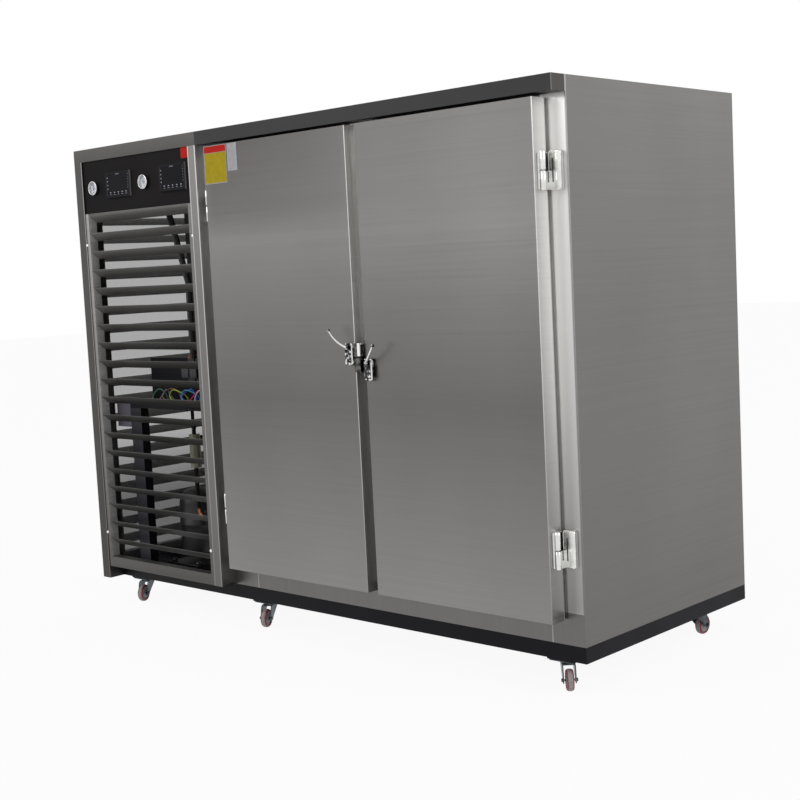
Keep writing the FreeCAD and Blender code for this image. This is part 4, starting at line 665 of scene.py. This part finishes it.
def swept(name, path, radius, around=16, ends=True):
    """A round bar along a path of points; radius is one value or one for each point."""
    path = np.array(path, float)
    radii = np.broadcast_to(radius, len(path))
    tangent = np.gradient(path, axis=0)
    tangent /= np.linalg.norm(tangent, axis=1)[:, None]
    u = np.empty_like(path)
    start = frame_of(tangent[0])[1]
    for i, t in enumerate(tangent):
        start = start - t * start.dot(t)
        start /= np.linalg.norm(start)
        u[i] = start
    v = np.cross(tangent, u)
    a = np.linspace(0, 2 * math.pi, around, endpoint=False)
    ring = u[:, None] * np.cos(a)[None, :, None] + v[:, None] * np.sin(a)[None, :, None]
    points = (path[:, None] + ring * radii[:, None, None]).reshape(-1, 3)
    faces = grid_faces(len(path), around, True).tolist()
    if ends:
        faces.append(list(range(around))[::-1])
        faces.append(list(range((len(path) - 1) * around, len(path) * around)))
    return mesh_object(name, points, faces, True)


# Chrome whose colour swings in patches from near black to near white, as painted reflections
glint_chrome = Look("chrome_painted_glints", grey(150), 0.14, 1.0)
glint_chrome.colour(
    glint_chrome.ramp(
        glint_chrome.noise((70, 70, 70), detail=1.0),
        [(0.40, grey(34, 34, 36)), (0.52, grey(86, 86, 88)), (0.60, grey(196)), (0.7, grey(240))]
    )
)
for side, way in (("left", -1), ("right", 1)):
    turn = pivots[side + "_latch_turn"]["pos_m"]
    low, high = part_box(side + "_door_latch_case")
    case = plate_xz("case", (low.x, high.x), (low.z, high.z), (low.y + 0.004, high.y), 0.008, 0.004)
    raised = plate_xz(
        "raised", (low.x + 0.006, high.x - 0.006), (low.z + 0.012, high.z - 0.006),
        (low.y + 0.0005, low.y + 0.006), 0.006, 0.002
    )
    wear(joined(side + "_latch_case", [case, raised]), glint_chrome, side + "_door", side + "_door_latch_case")
    screws = []
    for z in (low.z + 0.0065, high.z - 0.004):
        for x in (low.x + 0.009, high.x - 0.009):
            if z < turn[2] - 0.03 or abs(x - turn[0]) > 0.012:
                screws.append(
                    turned(
                        "screw", (x, low.y + 0.0042, z), (0, -1, 0),
                        [(0.001, 0.0028), (0.0022, 0.0022), (0.0036, 0.0)], 16
                    )
                )
    wear(joined(side + "_latch_screws", screws), chrome, side + "_door")
    strip_x = (high.x - 0.0065, high.x)
    rim = box(
        side + "_latch_rim", (strip_x[0], low.y + 0.001, low.z + 0.006),
        (strip_x[1], low.y + 0.0042, high.z - 0.002), 0.001
    )
    wear(rim, chrome, side + "_door")
    hub = turned(
        "hub", (turn[0], low.y, turn[2]), (0, -1, 0),
        [
            (0.001, 0.0105), (0.005, 0.0102), (0.0085, 0.008), (0.0093, 0.005), (0.0093, 0.0005),
            (0.001, 0.0)
        ],
        32
    )
    s = np.linspace(0, 1, 28)
    reach, spread, rise = 0.024, 0.063, 0.063
    path = np.stack(
        [
            turn[0] + way * spread * s, low.y - 0.007 - reach * np.sin(s * math.pi / 2),
            turn[2] + rise * (0.55 * s + 0.45 * s**2.2)
        ],
        1
    )
    arm = swept("arm", path, np.interp(s, (0, 0.5, 1), (0.0048, 0.0036, 0.0030)), 14)
    tip = turned(
        "tip", path[-1], path[-1] - path[-2],
        [
            (0.0005, 0.0065), (0.004, 0.0050), (0.0060, 0.0015), (0.0060, -0.0015), (0.004, -0.0050),
            (0.0005, -0.0065)
        ],
        20
    )
    spindle = turned(
        "spindle", (turn[0], low.y + 0.0005, turn[2]), (0, 1, 0),
        [(0.0048, 0.0), (0.0048, 0.010), (0.001, 0.010)], 20
    )
    tongue_low, tongue_high = turn[2] - 0.042, turn[2] + 0.007
    tongue = box(
        "tongue", (turn[0] - 0.007, -0.5525, tongue_low), (turn[0] + 0.007, -0.5475, tongue_high), 0.0012
    )
    wear(joined(side + "_lever", [arm, spindle, tongue]), chrome, side + "_latch", side + "_latch_lever")
    wear(joined(side + "_lever_ends", [hub, tip]), glint_chrome, side + "_latch")

def folded(width, *names, segments=2):
    """Small round edges on CAD pieces, whose corners the import leaves apart."""
    for name in names:
        nodes[name].modifiers.new("weld", "WELD").merge_threshold = 0.00001
        round_edges(nodes[name], width, segments)


# The keeper is dark chrome with a bright patch at its middle as a painted highlight
keeper = Look("keeper_chrome", grey(120), 0.2, 1.0)
keeper.colour(
    keeper.paint(
        keeper.ramp(keeper.noise((50, 50, 50)), [(0.4, grey(44, 44, 46)), (0.6, grey(110, 109, 107))]),
        keeper.zone(x=(0.411, 0.43), z=(1.118, 1.17)), [(1.1, 240), (1.2, 240)]
    )
)
give(keeper, "latch_keepers")
folded(0.0015, "latch_keepers")

# ---------------------------------------------------------------- machine bay frame and grilles
# The bay's posts and rails are folded stainless sheet. Three louvred panels close it in front, at the side and
# behind, held by screws at their corners, with a fine wire screen behind the side one.
bay_steel = steel("bay_steel", [(0.16, 90), (1.95, 100)], upright=True)
whole = (0.1, 1.952)
# Painted shade on the outer post's front and painted highlights along the posts' folds: low x, high x, tone
# low down, tone high up
for low_x, high_x, low_tone, high_tone in (
    (-1.310, -1.240, 70, 85), (-1.253, -1.2475, 100, 160), (-0.515, -0.450, 105, 130),
    (-0.509, -0.503, 130, 190), (-0.466, -0.459, 135, 210),
):
    bay_steel.over(bay_steel.zone(x=(low_x, high_x), z=whole, ny=-1), [(0.16, low_tone), (1.95, high_tone)])
# A painted reflection on the inner post's flank that faces right, fading towards the back, and painted shade
# on the head's front
bay_steel.over(bay_steel.zone(x=(-0.465, -0.45), z=whole, nx=1), [(0.16, 145), (1.0, 150), (1.95, 200)])
bay_steel.lift(bay_steel.zone(x=(-0.465, -0.45), z=whole, nx=1), 1, -0.54, -0.45, 1.1, 0.5)
bay_steel.over(bay_steel.zone(z=(1.952, 2.01), ny=-1), [(1.95, 85), (2.005, 95)])
give(bay_steel, "bay_frame")
grille = steel("grille_steel", [(0.16, 95), (1.0, 90), (1.75, 130)], rough=0.42, streak=0.1)
grille.set("Metallic", 0.7)
# A painted reflection on the left stile's inner flank; painted shade and sheen by height on the stiles' fronts
# and the bottom rail; an even tone over the side grille
grille.over(grille.zone(x=(-1.229, -1.222), y=(-0.55, -0.49), nx=1), [(0.16, 215), (1.75, 250)])
grille.over(grille.zone(x=(-1.25, -1.2262), y=(-0.55, -0.49), ny=-1), [(0.16, 90), (1.75, 165)])
grille.over(grille.zone(x=(-0.531, -0.507), y=(-0.55, -0.49)), [(0.16, 90), (1.75, 120)])
grille.over(grille.zone(x=(-1.23, -0.525), y=(-0.55, -0.49), z=(0.15, 0.2065)), [(0.16, 80), (0.21, 90)])
grille.over(grille.zone(x=(-1.31, -1.255), y=(-0.5, 0.53)), [(0.16, 120), (1.9, 125)])
give(grille, "front_grille", "side_grille", "rear_grille")
screen = Look("wire_screen", grey(70), 0.7)
screen.join(screen.range(screen.axis(2), 0.45, 0.72, 0.64, 0.38), screen.shader.inputs["Alpha"])
screen.colour(screen.ramp(screen.noise((3, 3, 3)), [(0.3, grey(66)), (0.7, grey(78))]))
give(screen, "side_dust_screen")
for i, (x, z) in enumerate(((-1.250, 1.592), (-0.511, 1.596), (-1.249, 0.314), (-0.524, 0.304))):
    head = turned(
        "grille_screw_%d" % i, (x, -0.539, z), (0, -1, 0),
        [(0.0005, 0.004), (0.004, 0.0034), (0.0068, 0.0014), (0.0075, -0.002)], 24
    )
    wear(head, chrome, "cabinet")

# ---------------------------------------------------------------- control panel
# A steel panel painted black carries two controllers and two pressure gauges.
# The controllers have dark displays with pale marks and keys; the gauges have white dials in bright cases.
panel_paint = Look("panel_paint", grey(20, 18, 19), 0.6, Specular_IOR_Level=0.08)
panel_paint.colour(
    panel_paint.ramp(panel_paint.noise((2, 2, 5)), [(0.3, grey(14, 11, 12)), (0.7, grey(22, 19, 20))])
)
give(panel_paint, "control_panel")
sticker("panel_label", red, (-0.558, -0.510), (1.909, 1.9515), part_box("control_panel")[0].y, "cabinet")
casing = Look("controller_casing", grey(26, 26, 32), 0.5, Specular_IOR_Level=0.1)
# The housings' faces to the right are painted light grey, as painted light
painted_light_flank = casing.paint(
    casing.ramp(casing.noise((40, 40, 40)), [(0.3, grey(11, 11, 17)), (0.7, grey(17, 17, 24))]),
    casing.zone(nx=1), [(1.7, 120), (1.9, 120)]
)
casing.colour(painted_light_flank)
give(casing, "controller_housings")
display = Look("display_glass", grey(8, 8, 18), 0.2, Specular_IOR_Level=0.08)
display.roughness(display.range(display.noise((30, 30, 30)), 0.3, 0.7, 0.15, 0.25))
mark = film_look("marks", 176, 178, 184)
for i, cx in enumerate((-0.989, -0.616)):
    wear(
        box("display_%d" % i, (cx - 0.079, -0.5432, 1.791), (cx + 0.079, -0.5425, 1.887)), display,
        "cabinet"
    )
    key = []
    for row in range(4):
        z = 1.870 - 0.0158 * row
        key.append(box("dot", (cx - 0.0735, -0.5437, z - 0.0022), (cx - 0.0685, -0.5431, z + 0.0022)))
    for column in range(5):
        x = cx - 0.053 + 0.0275 * column
        key.append(box("key", (x - 0.0036, -0.5437, 1.8045), (x + 0.0036, -0.5431, 1.8085)))
        key.append(box("line", (x - 0.0058, -0.5437, 1.797), (x + 0.0058, -0.5431, 1.7985)))
    for row in range(6):
        z = 1.878 - 0.0112 * row
        key.append(box("tick", (cx + 0.0712, -0.5437, z - 0.0012), (cx + 0.0742, -0.5431, z + 0.0012)))
    key.append(box("title_bar", (cx - 0.012, -0.5437, 1.8815), (cx + 0.012, -0.5431, 1.8835)))
    wear(joined("display_marks_%d" % i, key), mark, "cabinet")
dial_look = Look("dial", grey(215, 218, 222), 0.4)
dial_look.colour(
    dial_look.ramp(dial_look.noise((80, 80, 80)), [(0.3, grey(180, 183, 190)), (0.7, grey(198, 201, 206))])
)
needle = Look("needle", grey(20), 0.5)
needle.roughness(needle.range(needle.noise((300, 300, 300)), 0.3, 0.7, 0.4, 0.6))
give(needle, "gauge_needle_left", "gauge_needle_right")
for side, cx in (("left", -1.168), ("right", -0.810)):
    rim = [
        (0.0265, -0.539), (0.0265, -0.5488), (0.0275, -0.5500), (0.0290, -0.5496), (0.0299, -0.5478),
        (0.0299, -0.5362), (0.0262, -0.5362), (0.0262, -0.516), (0.001, -0.516)
    ]
    case = turned(side + "_gauge_case", (cx, 0, 1.835), (0, 1, 0), rim, 64)
    wear(case, chrome, "cabinet", "gauge_cases")
    wear(
        turned(
            side + "_gauge_dial", (cx, 0, 1.835), (0, 1, 0),
            [(0.0003, -0.5395), (0.0264, -0.5395), (0.0264, -0.5388)], 64, False
        ),
        dial_look, "cabinet"
    )
    ticks = []
    for step in range(28):
        a = math.radians(225 - step * 10)
        near = 0.0195 if step % 3 == 0 else 0.0215
        for r in np.linspace(near, 0.0238, 5 if step % 3 == 0 else 3):
            x, z = cx + r * math.cos(a), 1.835 + r * math.sin(a)
            ticks.append((x, z))
    spots = [
        box("tick", (x - 0.00045, -0.5398, z - 0.00045), (x + 0.00045, -0.5394, z + 0.00045)) for x,
        z in ticks
    ]
    wear(joined(side + "_gauge_ticks", spots), needle, "cabinet")
glass = Look("gauge_glass", (1, 1, 1, 1), 0.05, Transmission_Weight=1.0, IOR=1.05)
give(glass, "gauge_lenses")

# ---------------------------------------------------------------- casters
# Each caster is a pressed, zinc-plated fork under a ball race on a top plate.
# Its wheel has a pale tread between dark red rims, a grey core and a steel bolt through it.
# The plating is coloured far darker than bright zinc, as painted shade under the cabinet
zinc = Look("zinc", grey(150), 0.3, 1.0)
zinc.colour(
    zinc.ramp(zinc.noise((30, 30, 30), detail=5.0), [(0.3, grey(44, 48, 52)), (0.7, grey(96, 104, 108))])
)
tread = Look("tread", grey(176, 166, 164), 0.5)
tread.colour(
    tread.ramp(tread.noise((50, 50, 50)), [(0.3, grey(150, 138, 140)), (0.7, grey(172, 160, 162))])
)
rim_red = Look("rim_red", grey(132, 34, 50), 0.4)
rim_red.colour(
    rim_red.ramp(rim_red.noise((60, 60, 60)), [(0.3, grey(116, 28, 42)), (0.7, grey(146, 42, 60))])
)
core = Look("wheel_core", grey(150, 152, 156), 0.45)
core.colour(core.ramp(core.noise((60, 60, 60)), [(0.3, grey(136, 138, 142)), (0.7, grey(164, 166, 170))]))
for place in ("front_left", "front_middle", "front_right", "rear_left", "rear_middle", "rear_right"):
    roll = pivots["roll_" + place]
    centre, axis, body = roll["pos_m"], roll["axis"], "wheel_" + place
    tyre = [
        (0.0290, -0.0085), (0.0345, -0.0085), (0.0362, -0.0075), (0.0370, -0.004), (0.0372, 0),
        (0.0370, 0.004), (0.0362, 0.0075), (0.0345, 0.0085), (0.0290, 0.0085)
    ]
    wear(turned("tyre_" + place, centre, axis, tyre, 64), tread, body, "wheel_" + place)
    for name, way in (("a", -1), ("b", 1)):
        ring = [
            (0.0295, way * 0.0080), (0.0352, way * 0.0080), (0.0345, way * 0.0105), (0.0325, way * 0.0122),
            (0.0290, way * 0.0122), (0.0275, way * 0.0105), (0.0275, way * 0.0060)
        ]
        wear(turned("rim_%s_%s" % (name, place), centre, axis, ring, 64), rim_red, body)
        disc = [
            (0.0285, way * 0.0060), (0.0280, way * 0.0098), (0.0240, way * 0.0100), (0.0225, way * 0.0085),
            (0.0130, way * 0.0085), (0.0115, way * 0.0115), (0.0062, way * 0.0118), (0.0062, way * 0.002)
        ]
        wear(turned("core_%s_%s" % (name, place), centre, axis, disc, 48), core, body)
    give(zinc, "fork_" + place)
    folded(0.0008, "fork_" + place)
give(zinc, "caster_top_plates")
for place in ("front_left", "front_middle", "front_right", "rear_left", "rear_middle", "rear_right"):
    roll = pivots["roll_" + place]
    axis = np.array(roll["axis"])
    for name, way in (("a", -1), ("b", 1)):
        foot = np.array(roll["pos_m"]) + axis * way * 0.0195
        bolt = turned(
            "bolt_%s_%s" % (name, place), foot, axis * way,
            [(0.0075, -0.001), (0.0075, 0.0012), (0.0055, 0.0034), (0.0005, 0.0040)], 24
        )
        wear(bolt, chrome, "fork_" + place)

# ---------------------------------------------------------------- machinery
# Behind the grille stand two compressors, a condenser with its fan, a liquid receiver with its drier, copper
# pipes, and a shelf of contactors with their duct, conduit, junction box and wires.
plastic = Look("black_plastic", grey(30, 31, 36), 0.4)
plastic.roughness(plastic.range(plastic.noise((80, 80, 80)), 0.3, 0.7, 0.3, 0.5))
give(plastic, "contactors", "cable_gland")
machine = Look("machine_black", grey(22, 22, 24), 0.45)
machine.roughness(machine.range(machine.noise((10, 10, 10)), 0.3, 0.7, 0.35, 0.6))
give(machine, "fan_shroud", "fan_motor", "condenser_fan")
box_grey = Look("box_grey", grey(118, 114, 128), 0.6)
box_grey.colour(
    box_grey.ramp(box_grey.noise((8, 8, 8)), [(0.3, grey(98, 95, 104)), (0.7, grey(128, 124, 138))])
)

# Compressors: two drawn shells with a weld seam, on feet; a terminal box on the side of each
for i, y in enumerate((-0.247, 0.173)):
    shell = [
        (0.001, 0.185), (0.050, 0.186), (0.074, 0.198), (0.083, 0.220), (0.0845, 0.300), (0.0848, 0.330),
        (0.0865, 0.332), (0.0865, 0.340), (0.0845, 0.342), (0.083, 0.430), (0.074, 0.465), (0.050, 0.487),
        (0.020, 0.4945), (0.001, 0.4955)
    ]
    can = turned("can", (-0.960, y, 0), (0, 0, 1), shell, 64)
    foot = box("foot", (-1.063, y - 0.103, 0.1605), (-0.857, y + 0.103, 0.166), 0.002)
    pads = [
        turned(
            "pad", (-0.960 + a, y + b, 0), (0, 0, 1),
            [(0.001, 0.161), (0.014, 0.161), (0.012, 0.178), (0.006, 0.180), (0.001, 0.186)], 20
        )
        for a in (-0.085, 0.085) for b in (-0.085, 0.085)
    ]
    terminal = box("terminal", (-0.905, y - 0.030, 0.330), (-0.868, y + 0.030, 0.400), 0.004)
    wear(joined("compressor_%d" % i, [can, foot, terminal] + pads), machine, "cabinet", "compressors")

# Condenser: dark fins in a plated frame
fins = Look("fins", grey(40), 0.6, 0.3)
fin_lines = fins.add("ShaderNodeTexWave", bands_direction="X")
fin_lines.inputs["Scale"].default_value = 160.0
fins.join(fins.place(), fin_lines.inputs["Vector"])
fins.colour(fins.ramp(fin_lines.outputs["Fac"], [(0.2, grey(18)), (0.8, grey(62))]))
give(fins, "condenser_coil")

# Receiver, drier and copper pipes
cream = Look("receiver", grey(176, 170, 150), 0.5)
cream.colour(
    cream.ramp(cream.noise((10, 10, 10)), [(0.3, grey(120, 118, 100)), (0.7, grey(150, 148, 128))])
)
give(cream, "receiver_and_drier")
copper = Look("copper", grey(184, 115, 80), 0.35, 1.0)
bare = copper.ramp(copper.noise((30, 30, 30)), [(0.3, grey(150, 86, 58)), (0.7, grey(196, 130, 92))])
copper.colour(copper.paint(bare, copper.zone(z=(0.42, 1.06), soft=0.004), [(0.4, 30), (1.1, 30)]))
give(copper, "refrigerant_pipes")

# Black corrugated conduit from the right controller down to the contactors
ribs = Look("conduit_ribs", grey(24), 0.45)
ribs_bump = ribs.add("ShaderNodeTexWave", bands_direction="Z")
ribs_bump.inputs["Scale"].default_value = 55.0
ribs.join(ribs.place(), ribs_bump.inputs["Vector"])
ribs.bump(ribs_bump.outputs["Fac"], 0.6, 0.002)
ribs.colour(ribs.ramp(ribs_bump.outputs["Fac"], [(0.3, grey(12)), (0.8, grey(40, 40, 44))]))
give(ribs, "wiring_conduit")

# Slotted wiring duct over the shelf's leg, and the grey junction box
slots = Look("duct_slots", grey(28), 0.5)
slot_lines = slots.add("ShaderNodeTexBrick")
slots.join(slots.place((1, 1, 1)), slot_lines.inputs["Vector"])
for key, value in (
    ("Color1", grey(24, 24, 34)), ("Color2", grey(30, 30, 42)), ("Mortar", grey(12, 12, 16)),
    ("Scale", 26.0)
):
    slot_lines.inputs[key].default_value = value
slots.colour(slot_lines.outputs["Color"])
duct = box("wiring_duct", (-1.129, -0.4552, 0.170), (-1.056, -0.4545, 0.868))
wear(duct, slots, "cabinet")
lid = box("junction_lid", (-1.2295, -0.4552, 0.786), (-1.1305, -0.4540, 0.902), 0.002)
wear(lid, box_grey, "cabinet")

def smooth_path(points, count):
    """Points spread evenly along a curve through the given ones."""
    points = np.array(points, float)
    ends = np.vstack([2 * points[0] - points[1], points, 2 * points[-1] - points[-2]])
    out = []
    each = max(2, count // (len(points) - 1))
    for a, b, c, d in zip(ends, ends[1:], ends[2:], ends[3:]):
        t = np.linspace(0, 1, each, endpoint=False)[:, None]
        out.append(
            0.5 * (
                2 * b + (c - a) * t + (2 * a - 5 * b + 4 * c - d) * t**2 + (3 * b - a - 3 * c + d) * t**3
            )
        )
    out.append(points[-1:])
    return np.concatenate(out)


# Wires between the duct, the deck and the contactors
WIRES = (
    ("blue", (40, 96, 190), 0.00), ("magenta", (214, 40, 140), 0.05), (
        "yellow_green", (170, 190, 50), -0.06
    ),
    ("white", (205, 205, 205), 0.09), ("violet", (110, 70, 170), 0.11), ("brown", (120, 70, 50), -0.11),
    ("green", (70, 120, 90), -0.20), ("grey", (120, 120, 124), -0.16), ("cyan", (80, 150, 190), 0.02),
)
for i, (name, colour, shift) in enumerate(WIRES):
    start = (-0.77 + shift, -0.448, 0.9065)
    bend = (0.03 * math.sin(i * 2.1), 0.02 * math.cos(i * 1.3))
    points = [
        start, (start[0] + bend[0], -0.444, 0.93), (start[0] + 0.03 + bend[0], -0.438 + bend[1] / 3, 0.955),
        (start[0] + 0.06, -0.43, 0.942 + bend[1] / 2), (start[0] + 0.075, -0.42, 0.9075)
    ]
    wire_look = Look("wire_" + name, grey(*colour), 0.4)
    wire_look.roughness(wire_look.range(wire_look.noise((90, 90, 90)), 0.3, 0.7, 0.35, 0.5))
    wire = swept("wire_" + name, smooth_path(points, 40), 0.0028, 10)
    wear(wire, wire_look, "cabinet")

# ---------------------------------------------------------------- shelves
# The refrigerated shelves are aluminium planks with channels for the refrigerant, joined by return bends,
# and rest on aluminium uprights.
aluminium = Look("aluminium", grey(190), 0.4, 1.0)
aluminium.roughness(aluminium.range(aluminium.noise((2, 300, 300)), 0.3, 0.7, 0.35, 0.5))
aluminium.colour(aluminium.ramp(aluminium.noise((3, 3, 3)), [(0.3, grey(176)), (0.7, grey(198))]))
give(aluminium, "shelf_uprights", "evaporator_shelves")


# ---------------------------------------------------------------- end
low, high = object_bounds()
